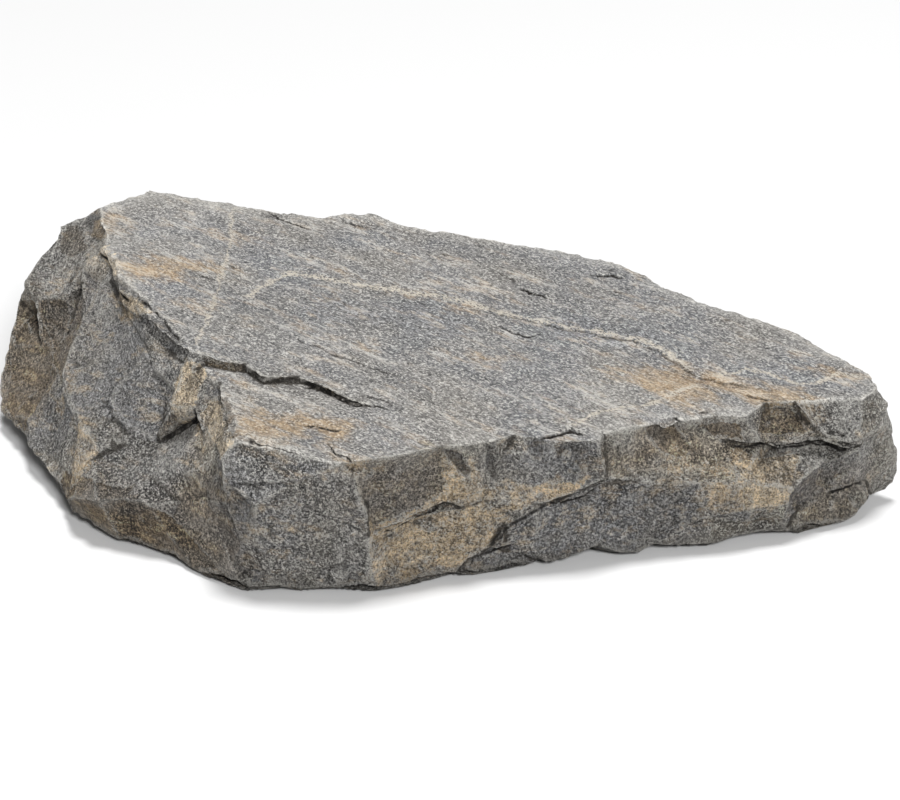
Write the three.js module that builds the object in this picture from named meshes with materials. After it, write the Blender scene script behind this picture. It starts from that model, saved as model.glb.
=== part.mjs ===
// A natural stone slab: grey foliated rock, broken on all sides, lying on its flat underside.
// Millimetres, +Z up, +X along the length. The origin is at the middle of the underside.
//
// The stone is one closed skin. It is drawn as a net of corners joined by flat fracture facets.
// The net is then cut into small triangles and given the low relief of a broken face.

import * as THREE from 'three';
import { ImprovedNoise } from 'three/addons/math/ImprovedNoise.js';

// Driving dimensions.
const LENGTH = 328; // overall length of the stone
const TOP_HEIGHT = 56.5; // height of the sloping top over the middle of the corner net
const TOP_RISE_X = -0.067; // the top falls towards the thin right end
const TOP_RISE_Y = 0.0815; // and rises towards the back
const STEP_DEPTHS = [3.4, 3.2, 3.0, 2.4, 2.0, 1.5, 0.8]; // height of the step across the top
const STEP_LEAN = { x: 0.4, y: -0.6 }; // how far the foot of the step stands out from its edge
const LIP_TUCK = new THREE.Vector3(0.6, 3.2, -1.0); // from an overhanging edge to the root under it

// Longest triangle edge allowed in each kind of facet.
const TOP_EDGE = 10.5;
const SIDE_EDGE = 8.6;
const BASE_EDGE = 26;

// Low relief of the broken faces: wavelength and height of each layer of unevenness.
const RELIEF = [
  { wavelength: 38, height: 1.0 },
  { wavelength: 17, height: 0.5 },
  { wavelength: 8, height: 0.2 },
];
const RELIEF_FADE = 6; // the relief fades out over this height above the ground
const TOP_RELIEF = 0.45; // the cleaved top is smoother than the broken sides

// ---------------------------------------------------------------------------
// Corners. A row of corners shares a letter and is numbered along its line.
// ---------------------------------------------------------------------------

const corners = new Map();

function topHeight(x, y) {
  return TOP_HEIGHT + TOP_RISE_X * x + TOP_RISE_Y * y;
}

// Corners given as [x, y, z].
function place(letter, points) {
  points.forEach(([x, y, z], index) => {
    corners.set(letter + (index + 1), new THREE.Vector3(x, y, z));
  });
}

// Corners on the top given as [x, y], or [x, y, drop] where they lie below its plane.
function placeOnTop(letter, points) {
  place(letter, points.map(([x, y, drop = 0]) => [x, y, topHeight(x, y) - drop]));
}

// The root of an overhanging edge, hidden under it: corner l2 gets the root l2i.
function placeUnder(names) {
  for (const name of names) {
    corners.set(`${name}i`, corners.get(name).clone().add(LIP_TUCK));
  }
}

// Left rim of the top, from the back left corner to the start of the step.
placeOnTop('t', [
  [-115, 100], [-124, 91], [-132, 84], [-131, 71], [-127, 60], [-127, 48], [-121, 38],
  [-119, 26], [-110, 13], [-106, 9], [-107, 1], [-101, -10], [-94, -20], [-89, -25],
]);

// Upper edge of the step that a lost flake left in the top, running out to the right.
placeOnTop('s', [
  [-84, -28], [-77, -31], [-70, -32], [-63, -40], [-51, -39], [-43, -44], [-35, -51], [-26, -55],
]);

// Foot of the step.
place('q', STEP_DEPTHS.map((depth, index) => {
  const edge = corners.get(`s${index + 1}`);
  return [edge.x + STEP_LEAN.x, edge.y + STEP_LEAN.y, edge.z - depth];
}));

// Rim of the tread below the step, round to the front corner.
placeOnTop('w', [
  [-78, -40, 3.2], [-76, -53, 3.2], [-73, -67, 3.2], [-69, -79, 3.2], [-61, -80, 3],
  [-53, -83, 2.6], [-42, -88, 1.8], [-34, -91, 1], [-28, -90, 0.3],
]);

// Front rim of the top, from the front corner to the right end.
placeOnTop('r', [
  [-21, -88], [-12, -84], [-3, -79], [4, -77], [15, -73], [21, -69], [31, -71], [49, -69],
  [51, -65], [67, -56], [80, -52], [89, -48], [99, -48], [107, -37], [118, -35], [126, -25],
  [135, -32], [141, -31], [148, -22],
]);

// Back rim, from the right end to the left, with the low mound at k15 to k17.
placeOnTop('k', [
  [146, -11], [139, -3], [132, 4], [125, 15], [113, 23], [96, 32], [88, 38], [78, 46],
  [72, 55], [64, 62], [47, 69], [26, 72], [2, 80], [-18, 83], [-24, 85, -1.5], [-30, 88, -2],
  [-40, 88, -1.5], [-48, 86], [-70, 89], [-94, 95],
]);

// Foot of the mound on the top.
placeOnTop('m', [[-43, 83], [-32, 78], [-22, 79]]);

// Broken bevel under the tread, and the front left face below it.
place('f', [[-74, -80, 47], [-74, -85, 40], [-60, -89, 42], [-47, -92, 45], [-42, -92, 48]]);
place('e', [
  [-74, -84, 32], [-72, -84, 26], [-69, -86, 18], [-64, -86, 11], [-55, -87, 2],
  [-50, -87, 1], [-45, -87, 3], [-40, -87, 2], [-32, -87, 1], [-24, -87, 1],
]);
place('i', [[-63, -91, 35], [-63, -89, 22]]);

// The upright front corner: its left edge, its right edge and its foot.
place('g', [[-31, -93, 45], [-30, -93, 39], [-27, -92, 33], [-26, -91, 24], [-26, -90, 14]]);
place('c', [
  [-29, -92, 42], [-26, -90, 33], [-24, -89, 24], [-22, -88, 19], [-17, -84, 7],
  [-8, -80, 4], [2, -78, 2],
]);
place('d', [[-8, -81, 1], [-17, -85, 1]]);

// Overhanging lip along the front: it rises from the corner, dips, and rises again.
place('l', [
  [-16, -87, 27], [-2, -81, 31], [4, -80, 28], [16, -76, 28], [28, -73, 26],
  [36, -72, 28], [45, -70, 31], [52, -68, 33],
]);
placeUnder(['l1', 'l2', 'l6', 'l7']);
place('x', [[4, -80, 39], [16, -73, 41]]);

// Right edge of the block below the lip. It overhangs the low wedge j.
place('o', [[18, -75, 20], [17, -76, 16], [13, -76, 12], [7, -77, 8], [3, -78, 5]]);
placeUnder(['o3', 'o4', 'o5']);
place('j', [[27, -69, 1], [17, -73, 1], [7, -76, 1]]);

// Scalloped lower edge of the long recessed face, and its upper edge y.
place('z', [
  [19, -71, 8], [24, -70, 6], [30, -70, 4], [34, -70, 2], [37, -69, 4], [44, -66, 4],
  [50, -65, 6], [57, -64, 3], [64, -62, 2], [69, -60, 4], [75, -59, 5], [81, -58, 2],
  [89, -57, 2], [98, -52, 3],
]);
place('y', [[63, -64, 30], [73, -62, 28], [83, -59, 27], [99, -56, 26]]);
place('u', [[104, -55, 15], [106, -49, 3], [88, -58, 14], [85, -59, 20]]);

// Bedding crack at the right, where the upper layer overhangs the lower one.
place('b', [
  [91, -50, 38], [105, -48, 37], [110, -44, 33], [126, -39, 33], [134, -38, 30], [141, -36, 29],
]);
placeUnder(['b2', 'b3', 'b4', 'b5']);

// Scooped hollow at the lower right: its upper ridge h, and the ridge and foot below it.
place('h', [
  [132, -40, 26], [126, -44, 26], [121, -48, 23], [117, -50, 20], [115, -52, 15],
  [115, -51, 9], [115, -47, 2],
]);
place('n', [
  [120, -46, 11], [127, -42, 14], [134, -38, 16], [145, -30, 13], [120, -47, 1],
  [131, -43, 2], [139, -38, 2], [143, -36, 4], [146, -31, 7], [144, -32, 23],
]);

// Notch and chamfer under the right end of the rim.
place('p', [
  [120, -35, 40], [110, -39, 41], [125, -39, 37], [131, -40, 35], [141, -37, 32], [149, -28, 33],
]);

// Outline of the rounded right end, from the rim down.
place('v', [
  [151, -22, 39], [154, -21, 30], [157, -20, 20], [158, -18, 11], [157, -18, 6],
  [154, -20, 4], [148, -24, 4],
]);

// Outline of the left flank, from the top of its far end down, and along its foot to the front.
place('L', [
  [-136, 85, 70], [-140, 82, 68], [-148, 84, 64], [-150, 77, 60], [-155, 73, 56],
  [-160, 64, 50], [-163, 66, 41], [-167, 58, 26], [-169, 50, 15], [-168, 38, 8],
  [-156, 13, 9], [-150, 0, 10], [-144, -10, 9], [-140, -19, 8], [-134, -35, 8],
  [-131, -38, 4], [-120, -48, 3], [-113, -54, 2], [-105, -57, 2], [-93, -66, 2],
  [-82, -77, 1], [-74, -83, 1], [-67, -87, 1],
]);

// Corners inside the left flank, from its far end towards the front.
place('a', [
  [-131, 62, 67], [-135, 66, 64], [-140, 71, 64], [-147, 77, 61], [-131, 56, 66],
  [-136, 51, 61], [-136, 45, 57], [-143, 47, 50], [-155, 56, 45], [-138, 45, 51],
  [-141, 42, 44], [-144, 37, 37], [-146, 31, 32], [-152, 44, 32], [-155, 60, 36],
  [-148, 27, 26], [-149, 14, 20], [-142, 6, 22], [-153, 14, 16], [-140, 13, 34],
  [-135, -3, 32], [-130, -17, 30], [-136, -12, 20], [-136, -9, 24], [-138, -13, 14],
  [-138, -24, 10], [-125, -27, 30], [-121, -34, 28], [-123, -36, 24], [-129, -34, 18],
  [-131, -36, 12], [-129, 44, 64], [-124, 36, 62], [-144, -7, 10], [-121, 28, 58],
  [-116, 14, 56], [-123, 16, 50], [-134, 31, 50], [-111, 8, 58], [-117, -1, 44],
  [-120, -15, 37], [-117, -22, 34], [-106, -10, 54], [-103, -18, 49], [-99, -28, 43],
  [-100, -38, 32], [-107, -34, 31], [-114, -26, 32], [-91, -26, 56], [-98, -15, 55],
  [-93, -32, 50], [-95, -38, 46], [-84, -33, 54], [-83, -42, 50], [-86, -46, 48],
  [-77, -46, 52], [-76, -59, 48], [-85, -44, 44], [-82, -54, 43], [-78, -70, 40],
  [-93, -39, 37], [-95, -53, 32], [-101, -53, 26], [-89, -60, 30], [-90, -63, 22],
  [-82, -70, 26], [-102, -61, 20], [-111, -57, 20], [-120, -55, 18], [-129, -45, 14],
  [-96, -63, 11], [-89, -70, 4],
]);

// Far left end, and the foot below it.
place('H', [
  [-128, 104, 56], [-147, 99, 44], [-153, 90, 22], [-146, 84, 3], [-162, 62, 20],
  [-154, 58, 3], [-155, 28, 3], [-149, 6, 3], [-141, -10, 3],
]);

// Back: lower edge of the upper layer, outer edge of the shelf, low belt and foot.
place('B', [
  [146, -2, 32], [118, 20, 34], [90, 42, 33], [62, 68, 40], [30, 80, 43],
  [-6, 88, 44], [-44, 93, 50], [-80, 96, 47], [-108, 106, 52],
]);
place('S', [[119, 24, 30], [91, 46, 30], [32, 87, 40], [-6, 96, 41], [-46, 101, 46], [-82, 102, 44]]);
place('P', [
  [150, -12, 16], [122, 16, 14], [96, 38, 17], [60, 64, 14], [34, 78, 18],
  [-8, 90, 14], [-50, 98, 22], [-86, 99, 16], [-116, 104, 24],
]);
place('O', [
  [140, -16, 3], [112, 8, 3], [82, 32, 2], [44, 60, 3], [0, 78, 2],
  [-44, 88, 3], [-84, 93, 2], [-118, 98, 3],
]);

// Flat underside that the stone rests on.
place('Q', [
  [-116, -26, 0], [-92, -48, 0], [-62, -72, 0], [-28, -76, 0], [6, -66, 0], [46, -56, 0],
  [90, -46, 0], [124, -32, 0], [130, -16, 0], [102, 8, 0], [60, 36, 0], [0, 62, 0],
  [-60, 80, 0], [-112, 84, 0], [-138, 62, 0], [-138, 18, 0],
]);

// ---------------------------------------------------------------------------
// Facets. Each is a loop of corners, anticlockwise from outside. 'a1..a4' walks a row.
// ---------------------------------------------------------------------------

const topFacets = [
  't1..t14 s1..s8 w9 r1..r19 k1..k14 m3..m1 k18..k20', // the cleaved top
  'k14..k18 m1..m3', // the mound at its back rim
  'q1 w1..w9 s8 q7..q2', // tread below the step
];

const frontFacets = [
  's1 q1..q7 s8..s2', // riser of the step
  'w4 f1..f5 w7..w5', // bevel under the tread
  'f2 i1 i2 e4..e10 g5..g1 w8 w7 f5..f3', // large front left face
  'f2 e1..e4 i2 i1',
  'w8 g1 g2 c1 w9', // the upright front corner
  'g2..g4 c3..c1',
  'g4 g5 e10 c5..c3',
  'e10 d2 d1 c7..c5',
  'w9 c1..c3 l1..l3 x1 r4..r1', // upper front face, left part
  'r4 x1 x2 r5', // dent under the rim
  'r5 x2 x1 l3..l8 r8..r6', // upper front face, right part
  'c3 l1i l2i l3..l1', // underside of the lip
  'c3..c7 o5..o1 l5..l3 l2i l1i', // block below the lip
  'c7 o5i o4i o3i z1 o3..o5', // underside of the block
  'c7 j3..j1 z3..z1 o3i o4i o5i', // low wedge
  'l5 l6i l7i l8..l6', // underside of the lip, right part
  'l5 o1..o3 z1..z14 u3 u4 y3..y1 l8 l7i l6i', // long recessed face
  'r8 l8 y1..y4 b1 r12..r9', // upper face towards the right
  'y3 u4 u3 z14 u2 u1 y4', // facet beside the recess
  'y4 u1 u2 h7..h1 b6 b5i b4i b3i b2i b1', // lower layer at the right
  'b1 b2i b3i b4i b5i b6..b2', // underside of the upper layer
  'r12 b1..b6 p5..p3 p1 p2 r13', // upper layer at the right
  'r13 p2 p1 r15 r14', // notch under the rim
  'r15 p1 p3..p5 r18..r16', // chamfer
  'b6 h1..h6 n1..n4 n10', // scooped hollow
  'h6 h7 n5..n9 n4..n1',
  'r18 p5 p6 v2 v1 r19', // rounded right end
  'p5 b6 n10 p6',
  'p6 n10 n4 v7..v2',
  'n4 n9 v7',
];

const flankFacets = [
  't3 L1 L2 a3..a1 t4', // far shoulder
  'L2..L4 a4 a3',
  't4 a1 a5 t6 t5',
  'L4..L6 a9..a5 a1..a4', // bright upper facet
  'a9 a15..a10 a7 a8', // dark facet under it
  'L6..L11 a19 a17 a16 a13..a15 a9', // outermost face
  'a13 a16..a18 a24 a22..a20', // narrow steep strip
  'a19 L11 L12 a34 a25 a23 a24 a18 a17',
  'L12..L14 a26 a25 a34',
  'a22 a24 a23 a25 a26 L15 a31..a27',
  't6 a5 a32 a33 t8 t7', // knuckle below the rim
  'a5..a7 a10 a11 a38..a35 a33 a32',
  't8 a33 a35 a36 a39 t11..t9',
  'a38 a11..a13 a20..a22 a27 a28 a42..a40 a37', // broad middle facet
  'a36 a37 a40..a42 a48..a43 a39', // large steep facet beside it
  't11 a39 a43 a50 a49 t14..t12',
  'a43..a45 a52 a51 a49 a50',
  't14 a49 a51 a52 a55..a53 q1 s1', // block at the head of the step
  'q1 a53 a54 a56 w1',
  'a54 a55 a58..a60 f2 f1 a57 a56', // pillar
  'w1 a56 a57 f1 w4..w2', // gully beside the pillar
  'a52 a45 a46 a55',
  'a55 a46 a61 a58', // cleft
  'a58 a61 a62 a64..a66 e1 f2 a60 a59',
  'a61 a46 a47 a63 a67 a65 a64 a62',
  'a28..a31 a70..a67 a63 a47 a48 a42', // lower apron
  'a70 L15..L21 a72 a71 a67..a69', // undercut below the apron
  'a31 L15 a70',
  'a67 a71 a72 L21..L23 e5..e1 a66 a65',
];

const farFacets = [
  't2 t1 H1 L3..L1 t3', // far left end
  'L3 H1 H2 L6..L4',
  'L6 H2 H3 H5 L8 L7',
  'H3 H4 H6 H5',
  'H5..H7 L10..L8',
  'L10 H7 H8 L11',
  'L11 H8 L13 L12',
  'H8 H9 L14 L13',
  'H9 L16 L15 a26 L14',
  't1 k20 B9 H1', // back, upper layer
  'k20 k19 B8 B9',
  'k19..k16 B7 B8',
  'k16..k13 B6 B7',
  'k13 k12 B5 B6',
  'k12..k10 B4 B5',
  'k10..k7 B3 B4',
  'k7..k5 B2 B3',
  'k5..k2 B1 B2',
  'k2 k1 r19 v1 v2 B1', // back of the right end
  'v2..v4 P1 B1',
  'v4..v7 n9 O1 P1',
  'B9 B8 S6', // shelf along the back
  'B8 B7 S5 S6',
  'B7 B6 S4 S5',
  'B6 B5 S3 S4',
  'B5 B4 S3',
  'B4 B3 S2',
  'B3 B2 S1 S2',
  'B2 B1 S1',
  'H1 B9 P9 H2', // back, lower layer
  'B9 S6 P8 P9',
  'S6 S5 P7 P8',
  'S5 S4 P6 P7',
  'S4 S3 P5 P6',
  'S3 B4 P4 P5',
  'B4 S2 P3 P4',
  'S2 S1 P2 P3',
  'S1 B1 P1 P2',
  'H2 P9 H3', // down to the foot
  'H3 P9 O8 H4',
  'P9 P8 O7 O8',
  'P8 P7 O6 O7',
  'P7 P6 O5 O6',
  'P6 P5 O4 O5',
  'P5 P4 O4',
  'P4 P3 O3 O4',
  'P3 P2 O2 O3',
  'P2 P1 O1 O2',
];

// The low rounded edge between the foot and the flat underside.
const undersideFacets = [
  'L16 H9 Q1',
  'H9 H8 Q16 Q1',
  'H8 H7 Q16',
  'H7 H6 Q15 Q16',
  'H6 H4 Q15',
  'H4 O8 Q14 Q15',
  'O8 O7 Q14',
  'O7 O6 Q13 Q14',
  'O6 O5 Q12 Q13',
  'O5 O4 Q12',
  'O4 O3 Q11 Q12',
  'O3 O2 Q10 Q11',
  'O2 O1 Q9 Q10',
  'O1 n9..n7 Q8 Q9',
  'n7..n5 h7 Q8',
  'h7 u2 z14 z13 Q7 Q8',
  'z13..z8 Q6 Q7',
  'z8..z3 Q5 Q6',
  'z3 j1..j3 Q5',
  'j3 c7 d1 d2 e10 Q4 Q5',
  'e10..e5 Q3 Q4',
  'e5 L23..L21 Q3',
  'L21..L19 Q2 Q3',
  'L19..L16 Q1 Q2',
];

const baseFacets = ['Q16..Q1'];

// ---------------------------------------------------------------------------
// From the net to a triangle skin.
// ---------------------------------------------------------------------------

// 'a2..a4 b1' becomes ['a2', 'a3', 'a4', 'b1']. A range may also run backwards.
function walk(loop) {
  return loop.split(' ').flatMap((word) => {
    const range = word.match(/^([A-Za-z])(\d+)\.\.\1(\d+)$/);
    if (!range) {
      return [word];
    }
    const [, letter, first, last] = range;
    const step = Math.sign(last - first);
    const count = Math.abs(last - first) + 1;
    return Array.from({ length: count }, (_, index) => letter + (Number(first) + step * index));
  });
}

// Normal of a loop that need not be quite flat.
function loopNormal(loop) {
  const normal = new THREE.Vector3();
  const side = new THREE.Vector3();
  loop.forEach((point, index) => {
    const next = loop[(index + 1) % loop.length];
    normal.add(side.crossVectors(point, next));
  });
  return normal.normalize();
}

// Cuts a loop into triangles in its own plane and gives them as index triples into the loop.
function triangulate(loop) {
  const turn = new THREE.Quaternion();
  turn.setFromUnitVectors(loopNormal(loop), new THREE.Vector3(0, 0, 1));
  const flat = loop.map((point) => {
    const turned = point.clone().applyQuaternion(turn);
    return new THREE.Vector2(turned.x, turned.y);
  });
  return THREE.ShapeUtils.triangulateShape(flat, []);
}

const points = [];
const pointOf = new Map();
let triangles = [];

function pointIndex(name) {
  if (!pointOf.has(name)) {
    pointOf.set(name, points.length);
    points.push(corners.get(name).clone());
  }
  return pointOf.get(name);
}

function addFacets(loops, edgeLimit, relief) {
  for (const loop of loops) {
    const names = walk(loop);
    const indices = names.map(pointIndex);
    const facet = { edgeLimit, relief };
    for (const triple of triangulate(indices.map((index) => points[index]))) {
      triangles.push({ corners: triple.map((place) => indices[place]), facet });
    }
  }
}

function edgeKey(a, b) {
  return a < b ? `${a}_${b}` : `${b}_${a}`;
}

function edgesOf([a, b, c]) {
  return [[a, b], [b, c], [c, a]];
}

// Splits every edge that is too long at its middle. Both neighbours see the same middle.
function splitLongEdges() {
  const middles = new Map();
  for (const { corners: triple, facet } of triangles) {
    for (const [a, b] of edgesOf(triple)) {
      const key = edgeKey(a, b);
      if (!middles.has(key) && points[a].distanceTo(points[b]) > facet.edgeLimit) {
        middles.set(key, points.length);
        points.push(points[a].clone().lerp(points[b], 0.5));
      }
    }
  }
  triangles = triangles.flatMap(({ corners: triple, facet }) => {
    const ring = edgesOf(triple).flatMap(([a, b]) => {
      const middle = middles.get(edgeKey(a, b));
      return middle === undefined ? [a] : [a, middle];
    });
    const start = Math.max(0, ring.findIndex((index) => !triple.includes(index)));
    const fan = [...ring.slice(start), ...ring.slice(0, start)];
    const pieces = [];
    for (let second = 1; second + 1 < fan.length; second += 1) {
      pieces.push({ corners: [fan[0], fan[second], fan[second + 1]], facet });
    }
    return pieces;
  });
  return middles.size > 0;
}

function angleAt(apex, left, right) {
  const toLeft = points[left].clone().sub(points[apex]);
  const toRight = points[right].clone().sub(points[apex]);
  return toLeft.angleTo(toRight);
}

// Swaps the diagonal of two triangles of one facet where that makes them less sliver-like.
function swapDiagonals() {
  const sides = new Map();
  for (const triangle of triangles) {
    for (const [a, b] of edgesOf(triangle.corners)) {
      const apex = triangle.corners.find((index) => index !== a && index !== b);
      const key = edgeKey(a, b);
      sides.set(key, [...(sides.get(key) ?? []), { triangle, a, b, apex }]);
    }
  }
  const changed = new Set();
  for (const [one, two] of sides.values()) {
    const sameFacet = one.triangle.facet === two.triangle.facet;
    if (!sameFacet || changed.has(one.triangle) || changed.has(two.triangle)) {
      continue;
    }
    const { a, b } = one;
    if (angleAt(one.apex, a, b) + angleAt(two.apex, a, b) > Math.PI * 1.001) {
      one.triangle.corners = [one.apex, a, two.apex];
      two.triangle.corners = [two.apex, b, one.apex];
      changed.add(one.triangle);
      changed.add(two.triangle);
    }
  }
  return changed.size > 0;
}

function refine() {
  const MAX_ROUNDS = 60;
  let splitting = true;
  while (splitting) {
    for (let round = 0; round < MAX_ROUNDS && swapDiagonals(); round += 1);
    splitting = splitLongEdges();
  }
  for (let round = 0; round < MAX_ROUNDS && swapDiagonals(); round += 1);
}

// ---------------------------------------------------------------------------
// Relief of the broken faces.
// ---------------------------------------------------------------------------

const noise = new ImprovedNoise();

function unevenness(point) {
  let sum = 0;
  RELIEF.forEach(({ wavelength, height }, layer) => {
    const p = point.clone().divideScalar(wavelength);
    sum += height * noise.noise(p.x + layer * 7.3, p.y - layer * 3.1, p.z + layer * 5.7);
  });
  return sum;
}

// Moves each point along its own normal. The flat underside stays flat.
function addRelief() {
  const normals = points.map(() => new THREE.Vector3());
  const strength = points.map(() => 1);
  const face = new THREE.Triangle();
  const normal = new THREE.Vector3();
  for (const { corners: triple, facet } of triangles) {
    face.setFromPointsAndIndices(points, ...triple);
    face.getNormal(normal);
    for (const index of triple) {
      normals[index].addScaledVector(normal, face.getArea());
      strength[index] = Math.min(strength[index], facet.relief);
    }
  }
  points.forEach((point, index) => {
    const fade = THREE.MathUtils.smoothstep(point.z, 0, RELIEF_FADE);
    const shift = unevenness(point) * strength[index] * fade;
    point.addScaledVector(normals[index].normalize(), shift);
  });
}

// ---------------------------------------------------------------------------
// The stone.
// ---------------------------------------------------------------------------

function stoneGeometry() {
  addFacets(topFacets, TOP_EDGE, TOP_RELIEF);
  addFacets(frontFacets, SIDE_EDGE, 1);
  addFacets(flankFacets, SIDE_EDGE, 1);
  addFacets(farFacets, SIDE_EDGE, 1);
  addFacets(undersideFacets, SIDE_EDGE, 0);
  addFacets(baseFacets, BASE_EDGE, 0);
  refine();
  addRelief();

  const geometry = new THREE.BufferGeometry().setFromPoints(points);
  geometry.setIndex(triangles.flatMap((triangle) => triangle.corners));

  // Full size, with the origin at the middle of the underside.
  geometry.computeBoundingBox();
  const size = geometry.boundingBox.getSize(new THREE.Vector3());
  const middle = geometry.boundingBox.getCenter(new THREE.Vector3());
  geometry.translate(-middle.x, -middle.y, -geometry.boundingBox.min.z);
  geometry.scale(LENGTH / size.x, LENGTH / size.x, LENGTH / size.x);
  return geometry;
}

const rock = new THREE.MeshStandardMaterial({ color: 0x82807c, roughness: 0.88, metalness: 0 });
const stone = new THREE.Mesh(stoneGeometry(), rock);
stone.name = 'stone';

const sample = new THREE.Group();
sample.add(stone);

export default sample;
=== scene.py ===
import math

import bmesh
import bpy
import numpy as np
from bpy.props import FloatProperty, FloatVectorProperty, PointerProperty
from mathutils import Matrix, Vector, kdtree, noise


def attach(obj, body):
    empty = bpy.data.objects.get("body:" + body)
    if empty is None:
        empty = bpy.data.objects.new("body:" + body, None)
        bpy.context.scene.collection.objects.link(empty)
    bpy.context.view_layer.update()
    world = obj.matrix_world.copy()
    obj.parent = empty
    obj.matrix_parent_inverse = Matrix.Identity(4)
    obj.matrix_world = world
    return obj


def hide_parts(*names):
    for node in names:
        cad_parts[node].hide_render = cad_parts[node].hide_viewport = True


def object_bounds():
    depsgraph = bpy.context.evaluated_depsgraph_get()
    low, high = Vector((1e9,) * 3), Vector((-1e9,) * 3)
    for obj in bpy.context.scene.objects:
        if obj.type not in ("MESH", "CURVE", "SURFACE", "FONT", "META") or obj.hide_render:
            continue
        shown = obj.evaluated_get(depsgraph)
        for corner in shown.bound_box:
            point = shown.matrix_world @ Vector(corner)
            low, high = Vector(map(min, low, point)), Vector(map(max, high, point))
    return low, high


bl_info = {
    "name": "Stone Sample",
    "version": (1, 0, 0),
    "blender": (4, 5, 0),
    "location": "View3D > Sidebar > Stone",
    "description": "Gives a faceted stone slab its broken surface, mineral finish and stage",
    "category": "Object",
}

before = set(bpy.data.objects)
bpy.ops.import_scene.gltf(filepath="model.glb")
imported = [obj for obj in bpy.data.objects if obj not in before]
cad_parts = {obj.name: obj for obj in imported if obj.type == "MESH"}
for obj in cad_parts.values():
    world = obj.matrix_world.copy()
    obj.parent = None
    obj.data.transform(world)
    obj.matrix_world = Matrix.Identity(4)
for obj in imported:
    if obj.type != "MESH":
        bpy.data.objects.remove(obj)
CAD_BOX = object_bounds()

MM = 0.001  # lengths in this file are millimetres unless a name says otherwise
STONE_HEIGHT = CAD_BOX[1][2] / MM

# Geometry is worked out in millimetres, in the frame's own axes.
CREASE_ANGLE = math.radians(16)  # facets that meet at more than this keep a sharp edge
OUTER_ANGLE = math.radians(22)  # outer corners sharper than this are chipped, and made pale by wear and painted highlight
INNER_ANGLE = math.radians(22)  # inner corners sharper than this are darkened: dirt and painted shade
FACET_ANGLE = math.radians(13)  # a facet's own fine triangles meet at less than this
SHADE_ANGLE = math.radians(34)  # finer triangles that meet at more than this are shaded sharp
TOP_EDGE, SIDE_EDGE, UNDER_EDGE, HIDDEN_EDGE = 3.0, 1.9, 8.0, 25.0  # longest triangle edges
CREASE_EDGE, LINE_EDGE = 1.6, 1.1  # and beside facet edges and drawn lines
CREASE_REACH, LINE_REACH = 1.5, 2.2  # how far from them the triangles are as small as that
LOW_HEIGHT, HIDDEN_HEIGHT = 3.0, 0.5  # below these, triangles are small, and then very large
LINE_BOX = 3.0  # how far round a line the triangles are looked through
SPLIT_ROUNDS = 4  # how often long edges are halved
SEAM_GAP, LINE_DOTS = 0.6, 12  # spacing of places along facet edges; places per line segment
LINE_LIFT, AREA_LIFT = 6.0, 8.0  # how far off the surface a drawn line or outline may lie
FAR = 9.0  # stands for any distance too long to matter
UP_LIMIT, DOWN_LIMIT = 0.9, -0.7  # cosines to the top's normal, past which a face is top or under
TOP_TILT, TOP_DROP = (0.8, 0.95), (-7.0, -5.0)  # cosines, and heights, over which side turns to top
GROUND_BAND = (0.6, 6.0)  # heights between which the relief grows from none to full
CALM_WIDTH, RIM_WIDTH = 4.0, 3.5  # of the calmer relief by facet edges, and the bites at corners
LEDGE_FADE, VEIN_FADE = 6.0, 5.0  # how far before its ends a line fades out
CRACK_WIDTH, VEIN_WIDTH, VEIN_BOX = 4, 5, 8  # how far from its line each is marked, and looked for
FOOT_HEIGHT, FOOT_DEPTH = 2.2, 7.0  # gap under the lower edge, before it is made uneven
FOLIATION_ANGLE = math.radians(-39)  # direction of the mineral streaks, seen from above
CHIPS = (  # size, shift of the pattern, height
    (22.0, (11, 23, 5), 1.7),
    (11.0, (0, 0, 0), 1.0),
    (4.6, (31, 7, 19), 0.5),
)
# Random shifts, as (size of the broad wave, its height, size of the fine wave, its height).
SIDE_WANDER, RIM_WANDER = (6.5, 0.25, 2.4, 0.16), (4.0, 0.4, 1.7, 0.2)
LINE_WANDER, PATCH_WANDER = (5.0, 1.3, 1.9, 0.55), (13, 6, 4, 3)
GRAIN_GAIN = 4.4  # a light grain is at most this many times as bright as its ground
NOISE_SEED = 7  # noise_vector takes its offsets from the clock unless it is given a seed
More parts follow.
